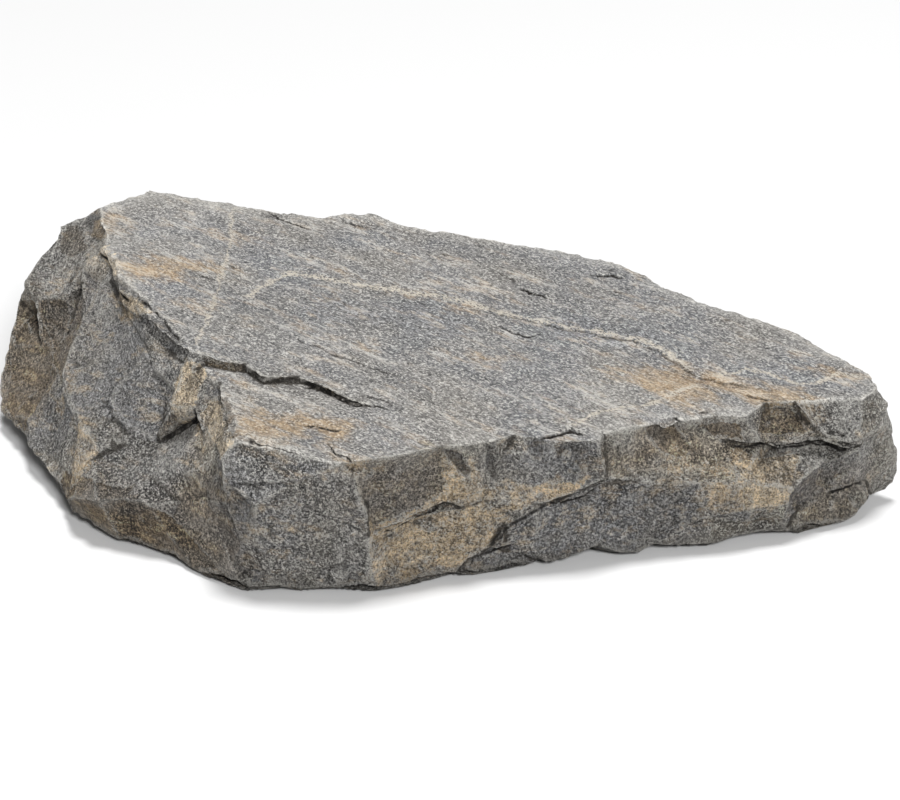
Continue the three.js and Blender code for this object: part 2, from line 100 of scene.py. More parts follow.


# Lines across the surface, as [x, y] on the cleaved top or [x, y, z] on a side.
# Each runs from left to right as it is seen from outside the stone.

# Low steps: the rock behind or above the line stands out over the rock before or below it.
# Each is (height, how open and dark the line is, points). The dark line is partly an open
# crack and partly painted shadow at the foot of the step.
LEDGES = {
    "long ledge, left": (0.4, 0.0, [
        (-61, 23), (-53, 31), (-43, 30), (-32, 25), (-10, 21), (10, 16), (20, 11),
    ]),
    "long ledge, right": (0.8, 0.5, [
        (20, 11), (40, 4), (59, -2), (70, -5), (80, -12), (92, -28), (106, -31), (113, -35),
    ]),
    "short ledge": (0.5, 0.9, [(22, 2), (28, -3), (34, -6), (39, -3)]),
    "step branch": (0.5, 0.7, [(-29, -54), (-23, -56), (-18, -58), (-10, -61)]),
    "left crack": (0.35, 0.7, [
        (-50, -18), (-44, -23), (-39, -25), (-34, -29), (-28, -32), (-16, -39), (-8, -42),
    ]),
    "tread crack": (0.6, 1.0, [(-44, -73), (-38, -74), (-33, -76), (-27, -77)]),
    "corner crack": (0.6, 1.0, [(-35, -83), (-32, -89), (-29, -93), (-22, -100)]),
    "tread rim crack": (0.5, 0.9, [(-64, -82), (-55, -86), (-51, -88), (-41, -94)]),
    "middle crack": (0.5, 0.7, [(21, 45), (25, 40), (29, 37), (34, 32)]),
    "middle notch": (0.7, 1.0, [(28, 29), (33, 28), (39, 25), (44, 21)]),
    "back nick": (0.6, 1.0, [(0, 57), (4, 55), (8, 55)]),
    "rim nick": (0.6, 1.0, [(13, 64), (17, 64), (21, 62)]),
    "back flake": (0.9, 0.9, [(55, 47), (62, 45), (66, 46), (73, 43)]),
    "back flake edge": (0.6, 0.9, [(61, 49), (66, 50), (70, 48)]),
    "right crack": (0.4, 0.6, [(61, 34), (66, 32), (72, 30)]),
    "far crack": (0.5, 0.9, [(-65, 83), (-59, 76), (-52, 71), (-44, 66)]),
    "mound foot": (0.5, 0.7, [(-38, 81), (-34, 76), (-30, 73), (-23, 70)]),
    "left nick": (0.6, 1.0, [(-77, 38), (-73, 34), (-70, 31)]),
    "left scratch": (0.4, 0.6, [(-89, 30), (-83, 24), (-78, 22)]),
    "rim flake right": (0.9, 1.0, [(76, -60), (81, -58), (86, -62)]),
    "rim flake end": (0.7, 0.9, [(86, -55), (91, -53), (96, -53)]),
    "right ledge": (0.7, 0.7, [(104, -36), (112, -40), (119, -43)]),
    "rim sliver": (0.9, 1.0, [(33, -78), (40, -73), (46, -71), (54, -75)]),
    "flank crack": (0.4, 0.6, [
        (-111, -17, 43), (-115, -21, 38), (-114, -23, 37), (-111, -30, 34), (-108, -33, 33),
        (-101, -41, 31),
    ]),
    "notch crack": (0.5, 1.0, [(-24, -97, 51), (-25, -98, 46), (-25, -99, 42)]),
    "foot crack": (0.0, 1.0, [(14, -82, 7), (22, -81, 10), (26, -79, 10), (30, -79, 11)]),
    "foot crack, lower": (0.0, 0.8, [(25, -79, 8), (29, -78, 6), (33, -77, 5), (37, -77, 4)]),
    "lip": (1.1, 1.0, [
        (-18, -95, 23), (-13, -92, 23), (-10, -90, 24), (-3, -88, 27), (1, -87, 29), (5, -88, 32),
    ]),
    "lip, middle": (0.5, 0.6, [(5, -87, 28), (10, -87, 29), (15, -85, 29), (20, -84, 29)]),
    "lip, right": (1.2, 1.0, [
        (34, -80, 25), (38, -78, 26), (42, -76, 25), (51, -74, 26), (57, -74, 31),
    ]),
    "bed crack": (0.5, 1.0, [
        (98, -57, 37), (106, -55, 36), (111, -53, 36), (117, -50, 34), (126, -45, 32),
        (131, -43, 32), (140, -42, 29), (147, -42, 29),
    ]),
    "shelf crack": (1.0, 1.0, [(134, -48, 13), (140, -45, 14), (145, -42, 14), (152, -36, 13)]),
    "chamfer foot": (0.5, 0.35, [
        (-69, -91, 39), (-62, -94, 41), (-55, -96, 42), (-46, -98, 44), (-36, -99, 45),
    ]),
    "face ridge": (-0.6, 0.0, [(-61, -95, 39), (-59, -97, 36), (-57, -98, 34), (-57, -96, 25)]),
    "step end": (0.5, 1.0, [
        (-46, -46.6), (-37, -51.6), (-29, -58.4), (-24, -60.5), (-18, -62), (-12, -64),
    ]),
    "block edge": (-0.8, 0.9, [
        (11, -83, 2), (13, -84, 6), (16, -84, 10), (24, -81, 18), (34, -80, 24), (48, -76, 28),
    ]),
    "cleft": (0.5, 1.0, [(-95, -45, 33), (-88, -46, 36), (-82, -49, 42), (-77, -55, 48)]),
    "rim overhang": (1.6, 1.0, [
        (-124, 45, 67), (-119, 37, 67), (-117, 31, 65), (-115, 20, 64), (-113, 16, 63),
        (-110, 12, 62), (-106, 7, 62),
    ]),
    "rim crevice": (0.0, 1.0, [
        (-140, 25, 33), (-138, 30, 37), (-136, 34, 42), (-133, 37, 48), (-132, 39, 54),
        (-132, 44, 59),
    ]),
    "rim shadow": (0.8, 0.9, [
        (-106, 7, 63), (-102, 3, 64), (-96, -7, 63), (-91, -18, 62), (-85, -28, 61),
    ]),
    "notch under chamfer": (0.8, 0.9, [
        (128, -42, 34), (136, -42, 34), (142, -42, 32), (148, -42, 30),
    ]),
}

# Pale mineral veins, as (width, strength, points).
VEINS = {
    "cross vein": (1.3, 0.8, [
        (-76, 84), (-77, 72), (-76, 59), (-76, 47), (-77, 26), (-78, 4), (-79, -8), (-82, -31),
    ]),
    "ledge vein": (2.4, 0.9, [
        (-68, 9), (-62, 21), (-53, 31), (-43, 30), (-32, 26), (-10, 22), (10, 17), (20, 12),
        (40, 5), (59, 0), (70, -4), (80, -10), (90, -24),
    ]),
    "front vein": (1.6, 1.0, [
        (44, -69), (49, -66), (56, -58), (65, -53), (72, -50), (83, -42), (93, -33),
    ]),
    "right vein": (1.5, 0.95, [
        (94, -28), (100, -26), (110, -21), (117, -23), (127, -29), (132, -28), (142, -20),
        (152, -22),
    ]),
    "left ridge": (1.2, 0.75, [
        (-138, 4, 25), (-135, 5, 33), (-132, 14, 41), (-129, 24, 48), (-125, 31, 57),
        (-123, 38, 65),
    ]),
    "scar seam": (0.8, 0.8, [(22, -80, 43), (26, -78, 45), (30, -77, 48), (33, -76, 49)]),
    "front corner": (0.9, 0.9, [
        (-26, -97, 49), (-24, -98, 44), (-22, -98, 37), (-20, -97, 29), (-20, -97, 24),
        (-20, -96, 18), (-20, -96, 10), (-22, -94, 2),
    ]),
    "ochre border": (0.8, 0.6, [(-20, -97, 24), (-17, -95, 18), (-14, -92, 11), (-10, -90, 5)]),
    "short vein": (1.2, 0.7, [(88, 3), (91, 0), (95, -7)]),
    "upper seam": (1.0, 0.6, [
        (55, -76, 33), (62, -73, 34), (69, -70, 34), (80, -67, 32), (91, -63, 31), (104, -60, 30),
    ]),
    "lower seam": (0.8, 0.55, [
        (56, -73, 31), (69, -71, 29), (85, -67, 27), (94, -65, 27), (102, -63, 27), (112, -59, 25),
    ]),
    "middle seam": (0.9, 0.5, [(12, -87, 30), (19, -84, 30), (29, -81, 29), (37, -80, 29)]),
    "scoop seam": (0.9, 0.6, [
        (124, -57, 20), (130, -52, 25), (136, -48, 26), (142, -45, 27), (148, -42, 28),
    ]),
    "step seam": (1.2, 0.5, [(-85, -30, 61), (-78, -33, 60), (-71, -35, 59), (-64, -41, 58)]),
    "overhang seam": (1.2, 0.5, [(-124, 46, 69), (-118, 32, 67), (-113, 18, 66), (-104, 8, 65)]),
}

# Areas with a crisp border that broke or weathered alike, as (strength of each kind of
# weathering, how far the area stands out, corners of its outline in order). The dark kind is
# partly dark rock, partly painted shade.
AREAS = {
    "flank hollow": ({"blue": 0.8, "dark": 0.25}, -0.9, [
        (-130, 42, 60), (-117, 25, 62), (-110, 6, 57), (-100, -16, 55), (-98, -24, 50),
        (-89, -38, 47), (-95, -43, 33), (-106, -34, 34), (-113, -23, 38), (-107, -21, 45),
        (-114, -2, 46), (-130, 29, 50),
    ]),
    "rim face": ({"blue": 0.7, "dark": 0.8}, -0.5, [
        (-133, 75, 69), (-130, 77, 71), (-125, 66, 71), (-123, 57, 70), (-126, 56, 67),
        (-129, 61, 65),
    ]),
    "rim facet": ({"brown": 0.5, "dark": 0.55}, -0.4, [
        (-140, 76, 64), (-137, 74, 66), (-133, 68, 66), (-131, 58, 62), (-137, 60, 58),
        (-144, 68, 59),
    ]),
    "rim crevice": ({"dark": 0.9}, -1.0, [
        (-131, 49, 60), (-129, 46, 59), (-131, 39, 53), (-134, 33, 45), (-137, 28, 37),
        (-139, 28, 37), (-136, 36, 46), (-133, 42, 55),
    ]),
    "rim chips": ({"tan": 0.3, "pale": 0.3}, 0.1, [
        (-130, 49, 63), (-126, 46, 65), (-121, 37, 66), (-119, 32, 63), (-123, 33, 60),
        (-128, 38, 59),
    ]),
    "rim strip": ({"tan": 0.75}, 0.5, [
        (-123, 45, 68), (-120, 40, 69), (-115, 27, 68), (-113, 20, 67), (-116, 25, 65),
        (-121, 36, 66),
    ]),
    "rim chips, middle": ({"tan": 0.8, "pale": 0.5}, 0.8, [
        (-115, 19, 62), (-109, 12, 64), (-103, 3, 63), (-100, -6, 64), (-105, 0, 59),
        (-111, 10, 59),
    ]),
    "rim shade": ({"blue": 0.9, "dark": 0.5}, -0.7, [
        (-106, 2, 59), (-99, -10, 63), (-90, -23, 62), (-84, -31, 60), (-85, -32, 58),
        (-93, -21, 55), (-100, -13, 58),
    ]),
    "flank shelf": ({"pale": 0.4}, 0.4, [
        (-100, -18, 54), (-88, -27, 57), (-84, -33, 57), (-89, -36, 48), (-97, -24, 50),
    ]),
    "block top": ({"tan": 0.95}, 0.7, [
        (-84, -32, 58), (-76, -38, 56), (-79, -42, 52), (-81, -53, 48), (-86, -49, 43),
        (-89, -45, 44), (-89, -35, 49),
    ]),
    "block front": ({"brown": 0.9, "dark": 0.5}, 0.7, [
        (-89, -45, 44), (-81, -53, 48), (-81, -51, 45), (-95, -44, 32), (-94, -42, 34),
    ]),
    "strip": ({"tan": 0.7}, 0.5, [
        (-79, -55, 47), (-75, -51, 51), (-72, -52, 52), (-68, -72, 52), (-63, -86, 51),
        (-69, -85, 46), (-74, -66, 44),
    ]),
    "recess": ({"blue": 0.9, "dark": 0.4}, -0.9, [
        (-78, -44, 52), (-76, -42, 54), (-72, -52, 55), (-76, -49, 50),
    ]),
    "groove": ({"dark": 0.7}, -1.2, [
        (-70, -57, 54), (-68, -57, 54), (-66, -70, 53), (-63, -82, 52), (-66, -82, 51),
        (-69, -70, 51),
    ]),
    "left hollow": ({"brown": 0.5, "dark": 0.4}, -0.8, [
        (-150, 50, 46), (-139, 42, 50), (-131, 41, 58), (-131, 37, 54), (-135, 35, 43),
        (-141, 28, 33), (-146, 38, 35),
    ]),
    "left blue face": ({"blue": 0.8, "dark": 0.2}, 0.8, [
        (-140, 23, 31), (-135, 3, 32), (-126, -20, 31), (-130, -20, 22), (-134, -19, 13),
        (-146, -4, 10), (-150, 8, 10), (-145, 10, 20),
    ]),
    "left brown face": ({"brown": 0.95, "dark": 0.15}, 0.0, [
        (-153, 54, 47), (-147, 42, 39), (-141, 26, 32), (-145, 10, 20), (-150, 8, 10),
        (-160, 28, 10), (-161, 52, 28),
    ]),
    "ochre face": ({"ochre": 0.75}, 0.6, [
        (-125, -24, 29), (-117, -37, 30), (-115, -42, 27), (-119, -45, 22), (-126, -42, 12),
        (-125, -36, 19),
    ]),
    "low face": ({"brown": 1.0, "dark": 0.3}, -0.4, [
        (-130, -30, 14), (-117, -51, 21), (-102, -63, 22), (-90, -69, 17), (-79, -79, 10),
        (-70, -89, 5), (-64, -93, 1), (-78, -83, 0), (-96, -66, 0), (-109, -61, 0),
        (-122, -48, 1), (-131, -32, 2),
    ]),
    "corner foot": ({"blue": 0.7, "pale": 0.6}, 0.3, [
        (-20, -96, 23), (-17, -95, 17), (-14, -92, 11), (-10, -90, 5), (-13, -92, 2),
        (-21, -94, 1), (-21, -96, 10),
    ]),
    "lower front face": ({"blue": 0.95}, 0.0, [
        (68, -71, 31), (59, -74, 32), (48, -75, 28), (34, -80, 24), (24, -81, 18), (16, -84, 10),
        (11, -83, 1), (28, -78, 1), (48, -74, 2), (59, -68, 2), (70, -69, 3),
    ]),
    "front band": ({"ochre": 0.6}, 0.0, [
        (11, -86, 33), (24, -81, 34), (32, -80, 33), (42, -79, 33), (52, -76, 34), (48, -78, 30),
        (34, -80, 26), (22, -83, 22), (15, -85, 25),
    ]),
    "corner strip": ({"blue": 0.9, "dark": 0.5}, -0.6, [
        (-69, -88, 37), (-59, -97, 36), (-63, -93, 20), (-55, -94, 3), (-64, -91, 6),
        (-72, -83, 20),
    ]),
    "lip band": ({"ochre": 1.0}, 0.3, [
        (-19, -96, 26), (-12, -92, 29), (-4, -90, 31), (5, -88, 34), (5, -87, 30), (-3, -88, 26),
        (-12, -92, 23), (-18, -95, 22),
    ]),
    "front blue face": ({"blue": 0.9, "dark": 0.3}, -0.5, [
        (74, -70, 28), (86, -67, 26), (92, -65, 16), (80, -66, 5), (66, -70, 7), (64, -71, 16),
    ]),
    "triangle": ({"blue": 0.9, "dark": 0.15}, 0.6, [
        (92, -65, 26), (109, -61, 24), (108, -60, 9), (99, -63, 11), (89, -66, 19),
    ]),
    "tan face": ({"tan": 0.6}, 0.0, [
        (104, -62, 28), (110, -55, 31), (126, -48, 29), (123, -56, 22), (118, -59, 13),
        (106, -63, 15),
    ]),
    "lens": ({"blue": 1.0, "dark": 0.45}, -0.8, [
        (121, -58, 10), (122, -58, 18), (129, -53, 25), (140, -46, 26), (148, -41, 27),
        (147, -41, 21), (136, -47, 17), (127, -53, 10),
    ]),
    "notch face": ({"brown": 0.9, "dark": 0.4}, -0.8, [
        (113, -45, 45), (122, -43, 45), (126, -42, 41), (128, -46, 37), (120, -47, 36),
        (110, -54, 40),
    ]),
    "right bevel": ({"pale": 0.75, "blue": 0.5}, 0.4, [
        (128, -41, 45), (134, -36, 45), (145, -37, 45), (147, -40, 40), (148, -43, 32),
        (140, -46, 34), (133, -46, 37),
    ]),
    "left bite": ({"brown": 0.8, "dark": 0.35}, -0.9, [
        (71, -64, 47), (81, -60, 47), (87, -62, 38), (85, -64, 35), (77, -65, 38),
    ]),
    "right bite": ({"brown": 0.9, "dark": 0.35}, -0.7, [
        (90, -58, 44), (98, -55, 45), (105, -55, 43), (105, -56, 38), (95, -57, 40),
    ]),
    "rim scar": ({"blue": 0.9}, -0.5, [
        (46, -77, 48), (55, -76, 46), (54, -76, 37), (45, -78, 36), (38, -78, 40),
    ]),
    "first scar": ({"blue": 0.8, "dark": 0.9}, -1.2, [
        (4, -86, 49), (8, -85, 49), (11, -85, 45), (13, -85, 40), (10, -86, 40), (7, -86, 44),
    ]),
    "second scar": ({"blue": 0.8, "dark": 0.9}, -1.2, [
        (18, -81, 48), (21, -80, 47), (22, -81, 36), (20, -82, 36), (18, -82, 42),
    ]),
    "third scar": ({"blue": 0.8, "dark": 0.35}, -0.7, [
        (31, -77, 48), (36, -78, 49), (37, -78, 45), (35, -79, 41), (32, -79, 43),
    ]),
}

# Shallow scoops, as (centre, reach, depth).
DENTS = [
    ((34, -79, 46), (7, 5, 4), 0.9),
    ((-65, -93, 34), (5, 5, 9), 1.6),
    ((78, -62, 44), (8, 6, 7), 1.6),
    ((118, -46, 44), (9, 5, 4), 1.0),
    ((-128, 8, 50), (8, 14, 7), 1.2),
    ((-90, -58, 20), (10, 8, 6), 1.3),
    ((60, -72, 18), (9, 6, 9), 1.1),
    ((92, -60, 16), (9, 7, 7), 1.1),
    ((-40, -97, 20), (12, 6, 10), 0.7),
]


# Patches of weathering, as (centre [x, y, z], reach [x, y, z], strength).

OCHRE_PATCHES = [
    ((-100, 27, 68), (26, 15, 9), 0.8),
    ((-72, 60, 68), (13, 10, 8), 0.45),
    ((-83, 4, 64), (12, 9, 8), 0.35),
    ((-10, 21, 60), (22, 7, 8), 0.45),
    ((13, 12, 58), (16, 6, 8), 0.5),
    ((21, -25, 54), (14, 7, 8), 0.4),
    ((-42, -76, 54), (30, 15, 8), 0.95),
    ((-24, -96, 52), (12, 8, 8), 0.5),
    ((88, -34, 49), (36, 16, 8), 1.0),
    ((116, -38, 47), (24, 12, 8), 0.85),
    ((144, -22, 46), (16, 7, 7), 0.6),
    ((75, 48, 57), (10, 6, 7), 0.5),
    ((4, -88, 15), (24, 14, 10), 0.85),
    ((24, -80, 30), (34, 10, 4), 0.6),
    ((112, -57, 26), (20, 12, 10), 0.8),
    ((72, -64, 30), (30, 10, 5), 0.5),
    ((-78, -66, 46), (8, 24, 14), 0.35),
    ((-122, 62, 66), (12, 14, 9), 0.55),
    ((-124, -32, 24), (10, 14, 12), 0.55),
    ((-112, 12, 58), (10, 16, 8), 0.45),
    ((142, -34, 34), (18, 10, 4), 0.5),
    ((-70, -46, 56), (12, 5, 4), 0.7),
    ((-134, -4, 30), (7, 9, 9), 0.6),
]

BROWN_PATCHES = [
    ((-158, 50, 28), (16, 30, 30), 0.8),
    ((-110, -58, 12), (40, 20, 14), 0.7),
    ((-74, -84, 16), (20, 14, 18), 0.6),
    ((-4, -90, 40), (34, 12, 12), 0.55),
    ((84, -66, 38), (34, 14, 10), 0.7),
    ((122, -48, 40), (24, 14, 8), 0.7),
    ((138, -44, 14), (26, 20, 12), 0.6),
    ((-120, 40, 50), (18, 26, 16), 0.3),
]

BLUE_PATCHES = [
    ((-110, -6, 44), (18, 26, 16), 0.8),
    ((-128, 28, 44), (16, 22, 16), 0.6),
    ((-58, -88, 44), (26, 12, 8), 0.8),
    ((-44, -98, 24), (28, 12, 22), 0.4),
    ((36, -80, 36), (34, 12, 8), 0.5),
    ((50, -74, 16), (40, 14, 12), 0.6),
    ((-20, 0, 60), (60, 24, 8), 0.75),
    ((60, 0, 56), (34, 16, 8), 0.6),
]

PALE_PATCHES = [
    ((-82, -8, 63), (14, 30, 6), 0.55),
    ((-100, 55, 68), (38, 40, 12), 0.3),
    ((-60, -20, 60), (40, 18, 10), 0.3),
    ((60, 52, 58), (60, 18, 10), 0.25),
    ((-30, -70, 56), (50, 20, 10), 0.25),
    ((60, -50, 52), (60, 12, 8), 0.25),
    ((-50, -92, 48), (20, 8, 4), 0.4),
    ((-150, 57, 52), (10, 12, 8), 0.3),
    ((84, -38, 49), (44, 15, 8), 0.9),
    ((146, -42, 26), (16, 9, 5), 0.6),
    ((144, -42, 18), (16, 9, 4), 0.4),
    ((122, -52, 27), (8, 8, 4), 0.5),
    ((28, -80, 28), (16, 8, 3), 0.5),
    ((-80, -62, 44), (5, 16, 12), 0.35),
]

# Whole facets that weathered alike, as (kind, a place on the facet, reach, strength).
# The dark kind is partly dark rock, partly painted shade.
FACETS = [
    ("ochre", (-2, -89, 18), 32, 0.62),
    ("ochre", (110, -61, 24), 24, 0.7),
    ("ochre", (-120, -35, 28), 14, 0.45),
    ("brown", (-90, -70, 9), 60, 0.9),
    ("brown", (-72, -86, 5), 40, 0.7),
    ("brown", (-155, 45, 27), 50, 0.85),
    ("brown", (-10, -92, 37), 40, 0.5),
    ("brown", (118, -44, 43), 20, 0.9),
    ("brown", (100, -60, 34), 30, 0.5),
    ("brown", (143, -45, 11), 26, 0.5),
    ("brown", (-76, -61, 44), 14, 0.5),
    ("brown", (-66, -39, 57), 14, 0.9),
    ("brown", (-52, -46, 56.5), 14, 0.6),
    ("brown", (-38, -50, 55.2), 12, 0.3),
    ("dark", (-66, -39, 57), 14, 0.6),
    ("dark", (-52, -46, 56.5), 14, 0.3),
    ("ochre", (-76, -36, 58.5), 10, 0.6),
    ("ochre", (-52, -46, 56.5), 14, 0.5),
    ("ochre", (-38, -50, 55.2), 12, 0.5),
    ("blue", (60, -71, 14), 70, 0.7),
    ("blue", (136, -48, 18), 26, 0.95),
    ("blue", (-48, -93, 47), 34, 0.9),
    ("blue", (37, -78, 44), 30, 0.7),
    ("blue", (-118, 5, 45), 40, 0.7),
    ("blue", (-97, -36, 41), 30, 0.9),
    ("blue", (-38, -97, 25), 45, 0.35),
    ("blue", (139, -43, 39), 20, 0.6),
    ("dark", (-64, -93, 33), 22, 0.4),
    ("dark", (-10, -92, 37), 40, 0.25),
    ("dark", (-90, -70, 9), 60, 0.3),
    ("dark", (-134, 28, 44), 26, 0.3),
    ("dark", (-118, 5, 45), 40, 0.22),
    ("pale", (-146, 49, 48), 24, 0.2),
    ("pale", (-138, 64, 61), 24, 0.2),
    ("pale", (123, -50, 28), 24, 0.6),
    ("pale", (-118, 23, 58), 14, 0.9),
    ("pale", (139, -43, 39), 20, 0.4),
]

# Dark patches, drawn in the crevice colour: partly dark rock, partly painted shade in scoops,
# hollows and by the foot.
DARK_AND_SHADE_PATCHES = [
    ((-65, -93, 34), (4, 4, 10), 0.6),
    ((78, -62, 43), (7, 5, 6), 0.4),
    ((118, -46, 44), (9, 4, 4), 0.5),
    ((-126, 24, 54), (6, 16, 6), 0.4),
    ((-98, -66, 12), (30, 14, 8), 0.45),
    ((52, -74, 24), (10, 6, 4), 0.4),
    ((-86, -78, 6), (22, 14, 8), 0.6),
]

PATCHES = {
    "ochre": OCHRE_PATCHES, "brown": BROWN_PATCHES, "blue": BLUE_PATCHES,
    "pale": PALE_PATCHES, "dark": DARK_AND_SHADE_PATCHES,
}
KINDS = (*PATCHES, "tan")


# Mesh arithmetic.

def merged_mesh(node):
    """Points in millimetres and triangles of a frame node, its split corners joined again."""
    bm = bmesh.new()
    bm.from_mesh(node.data)
    bmesh.ops.remove_doubles(bm, verts=bm.verts, dist=0.01 * MM)
    bmesh.ops.triangulate(bm, faces=bm.faces)
    points = np.array([vertex.co[:] for vertex in bm.verts]) / MM
    triangles = np.array([[vertex.index for vertex in face.verts] for face in bm.faces])
    bm.free()
    return points, triangles


def edge_table(triangles):
    """Every edge once, and the index of each triangle's three edges."""
    pairs = np.sort(triangles[:, [[0, 1], [1, 2], [2, 0]]].reshape(-1, 2), axis=1)
    edges, where = np.unique(pairs, axis=0, return_inverse=True)
    return edges, where.reshape(-1, 3)


def face_normals(points, triangles):
    a, b, c = (points[triangles[:, k]] for k in range(3))
    return np.cross(b - a, c - a)


def unit(vectors):
    return vectors / np.maximum(np.linalg.norm(vectors, axis=1, keepdims=True), 1e-12)


def gather(count, index, values):
    """Sums the rows of values into count rows, by index."""
    return np.stack([np.bincount(index, values[:, k], count) for k in range(values.shape[1])], 1)


def point_normals(points, triangles):
    normals = face_normals(points, triangles)
    total = sum(gather(len(points), triangles[:, k], normals) for k in range(3))
    return unit(total)


def edge_angles(points, triangles):
    """Every edge, its two faces, the angle between them, and whether it is an outer corner."""
    edges, edge_of = edge_table(triangles)
    normals = unit(face_normals(points, triangles))
    order = np.argsort(edge_of.ravel(), kind="stable")
    faces = (order // 3).reshape(-1, 2)
    first, second = normals[faces[:, 0]], normals[faces[:, 1]]
    turn = np.arccos(np.clip((first * second).sum(1), -1, 1))
    middles = points[triangles].mean(1)
    across = middles[faces[:, 1]] - middles[faces[:, 0]]
    outer = (across * first).sum(1) < 0
    return edges, faces, turn, outer


def subdivide(points, triangles, creases):
    """One round of Loop subdivision that keeps the crease edges sharp. It also gives the halves
    of the creases, and which crease each is half of."""
    count = len(points)
    edges, edge_of = edge_table(triangles)
    crease_keys = creases[:, 0] * count + creases[:, 1]
    is_crease = np.isin(edges[:, 0] * count + edges[:, 1], crease_keys)
    start, end = points[edges[:, 0]], points[edges[:, 1]]

    opposite = gather(len(edges), edge_of.ravel(), points[triangles[:, [2, 0, 1]]].reshape(-1, 3))
    middles = np.where(is_crease[:, None], (start + end) / 2, (start + end) * 3 / 8 + opposite / 8)

    def neighbours(chosen):
        ends = np.concatenate([chosen, chosen[:, ::-1]])
        total = gather(count, ends[:, 0], points[ends[:, 1]])
        return total, np.bincount(ends[:, 0], minlength=count)

    total, valence = neighbours(edges)
    crease_total, crease_valence = neighbours(edges[is_crease])
    moved = points * 5 / 8 + total / np.maximum(valence, 1)[:, None] * 3 / 8
    on_crease = crease_valence == 2
    moved[on_crease] = points[on_crease] * 3 / 4 + crease_total[on_crease] / 8
    corner = crease_valence > 2
    moved[corner] = points[corner]

    middle_of = edge_of + count
    a, b, c = triangles.T
    ab, bc, ca = middle_of.T
    finer = np.concatenate([
        np.stack(corners, 1) for corners in ((a, ab, ca), (ab, b, bc), (ca, bc, c), (ab, bc, ca))
    ])
    crease_middles = np.flatnonzero(is_crease) + count
    halves = np.concatenate([
        np.stack([edges[is_crease, 0], crease_middles], 1),
        np.stack([edges[is_crease, 1], crease_middles], 1),
    ])
    half_of = np.tile(np.argsort(crease_keys), 2)
    return np.concatenate([moved, middles]), finer, halves, half_of


def split_long_edges(points, triangles, limit_at):
    """Halves each edge that is longer than limit_at(its middle, its normal)."""
    edges, edge_of = edge_table(triangles)
    middles = points[edges].mean(1)
    normals = unit(point_normals(points, triangles)[edges].mean(1))
    lengths = np.linalg.norm(points[edges[:, 0]] - points[edges[:, 1]], axis=1)
    long = lengths > limit_at(middles, normals)
    number = np.full(len(edges), -1)
    number[long] = len(points) + np.arange(long.sum())
    cut = number[edge_of]
    pieces = [triangles[(cut < 0).all(1)]]
    for turn in range(3):
        a, b, c = np.roll(triangles, -turn, axis=1).T
        ab, bc, ca = np.roll(cut, -turn, axis=1).T
        one = (ab >= 0) & (bc < 0) & (ca < 0)
        two = (ab >= 0) & (bc >= 0) & (ca < 0)
        for chosen, corners in (
            (one, (a, ab, c)), (one, (ab, b, c)),
            (two, (ab, b, bc)), (two, (ab, bc, c)), (two, (a, ab, c)),
        ):
            pieces.append(np.stack(corners, 1)[chosen])
    every = (cut >= 0).all(1)
    a, b, c = triangles[every].T
    ab, bc, ca = cut[every].T
    for corners in ((a, ab, ca), (ab, b, bc), (ca, bc, c), (ab, bc, ca)):
        pieces.append(np.stack(corners, 1))
    return np.concatenate([points, middles[long]]), np.concatenate(pieces)


def blurred(values, triangles, rounds):
    """Averages each point's values with its neighbours', over and over."""
    edges, _ = edge_table(triangles)
    ends = np.concatenate([edges, edges[:, ::-1]])
    valence = np.bincount(ends[:, 0], minlength=len(values))[:, None]
    for _ in range(rounds):
        values = (values + gather(len(values), ends[:, 0], values[ends[:, 1]]) / valence) / 2
    return values


def smoothstep(values, low, high):
    t = np.clip((values - low) / (high - low), 0, 1)
    return t * t * (3 - 2 * t)


# Distances to the lines drawn on the surface.

def offset_from(line, places, normals):
    """Signed distance along the surface to a line, positive behind or above it; distance from
    the line's nearer end; and plain distance."""
    best = np.full(len(places), np.inf)
    signed = np.full(len(places), np.inf)
    along_best = np.zeros(len(places))
    travelled = 0.0
    for start, end in zip(line[:-1], line[1:]):
        step = end - start
        length = np.linalg.norm(step)
        along = np.clip((places - start) @ step / length**2, 0, 1)
        away = places - (start + along[:, None] * step)
        lift = (away * normals).sum(1)
        flat = away - lift[:, None] * normals
        distance = np.linalg.norm(flat, axis=1) + np.maximum(0, np.abs(lift) - LINE_LIFT)
        side = np.sign((normals * np.cross(step, flat)).sum(1))
        nearer = distance < best
        best[nearer] = distance[nearer]
        signed[nearer] = (distance * side)[nearer]
        along_best[nearer] = travelled + (along * length)[nearer]
        travelled += length
    return signed, np.minimum(along_best, travelled - along_best), best


def near_line(line, places, reach):
    """Indices of the places in the box round a line."""
    low, high = line.min(0) - reach, line.max(0) + reach
    return np.flatnonzero(((places > low) & (places < high)).all(1))


def nearest_to(targets, places):
    """Distance from each place to the nearest target, and which target that is."""
    tree = kdtree.KDTree(len(targets))
    for index, target in enumerate(targets):
        tree.insert(target, index)
    tree.balance()
    found = [tree.find(place)[1:] for place in places]
    return np.array([distance for _, distance in found]), np.array([index for index, _ in found])


def strung_along(points, edges, gap):
    """Places along edges no further apart than gap, and which edge each is on."""
    starts, ends = points[edges[:, 0]], points[edges[:, 1]]
    counts = np.ceil(np.linalg.norm(ends - starts, axis=1) / gap).astype(int) + 1
    owner = np.repeat(np.arange(len(edges)), counts)
    first = np.repeat(np.cumsum(counts) - counts, counts)
    share = (np.arange(len(owner)) - first) / np.maximum(counts[owner] - 1, 1)
    return starts[owner] + share[:, None] * (ends - starts)[owner], owner


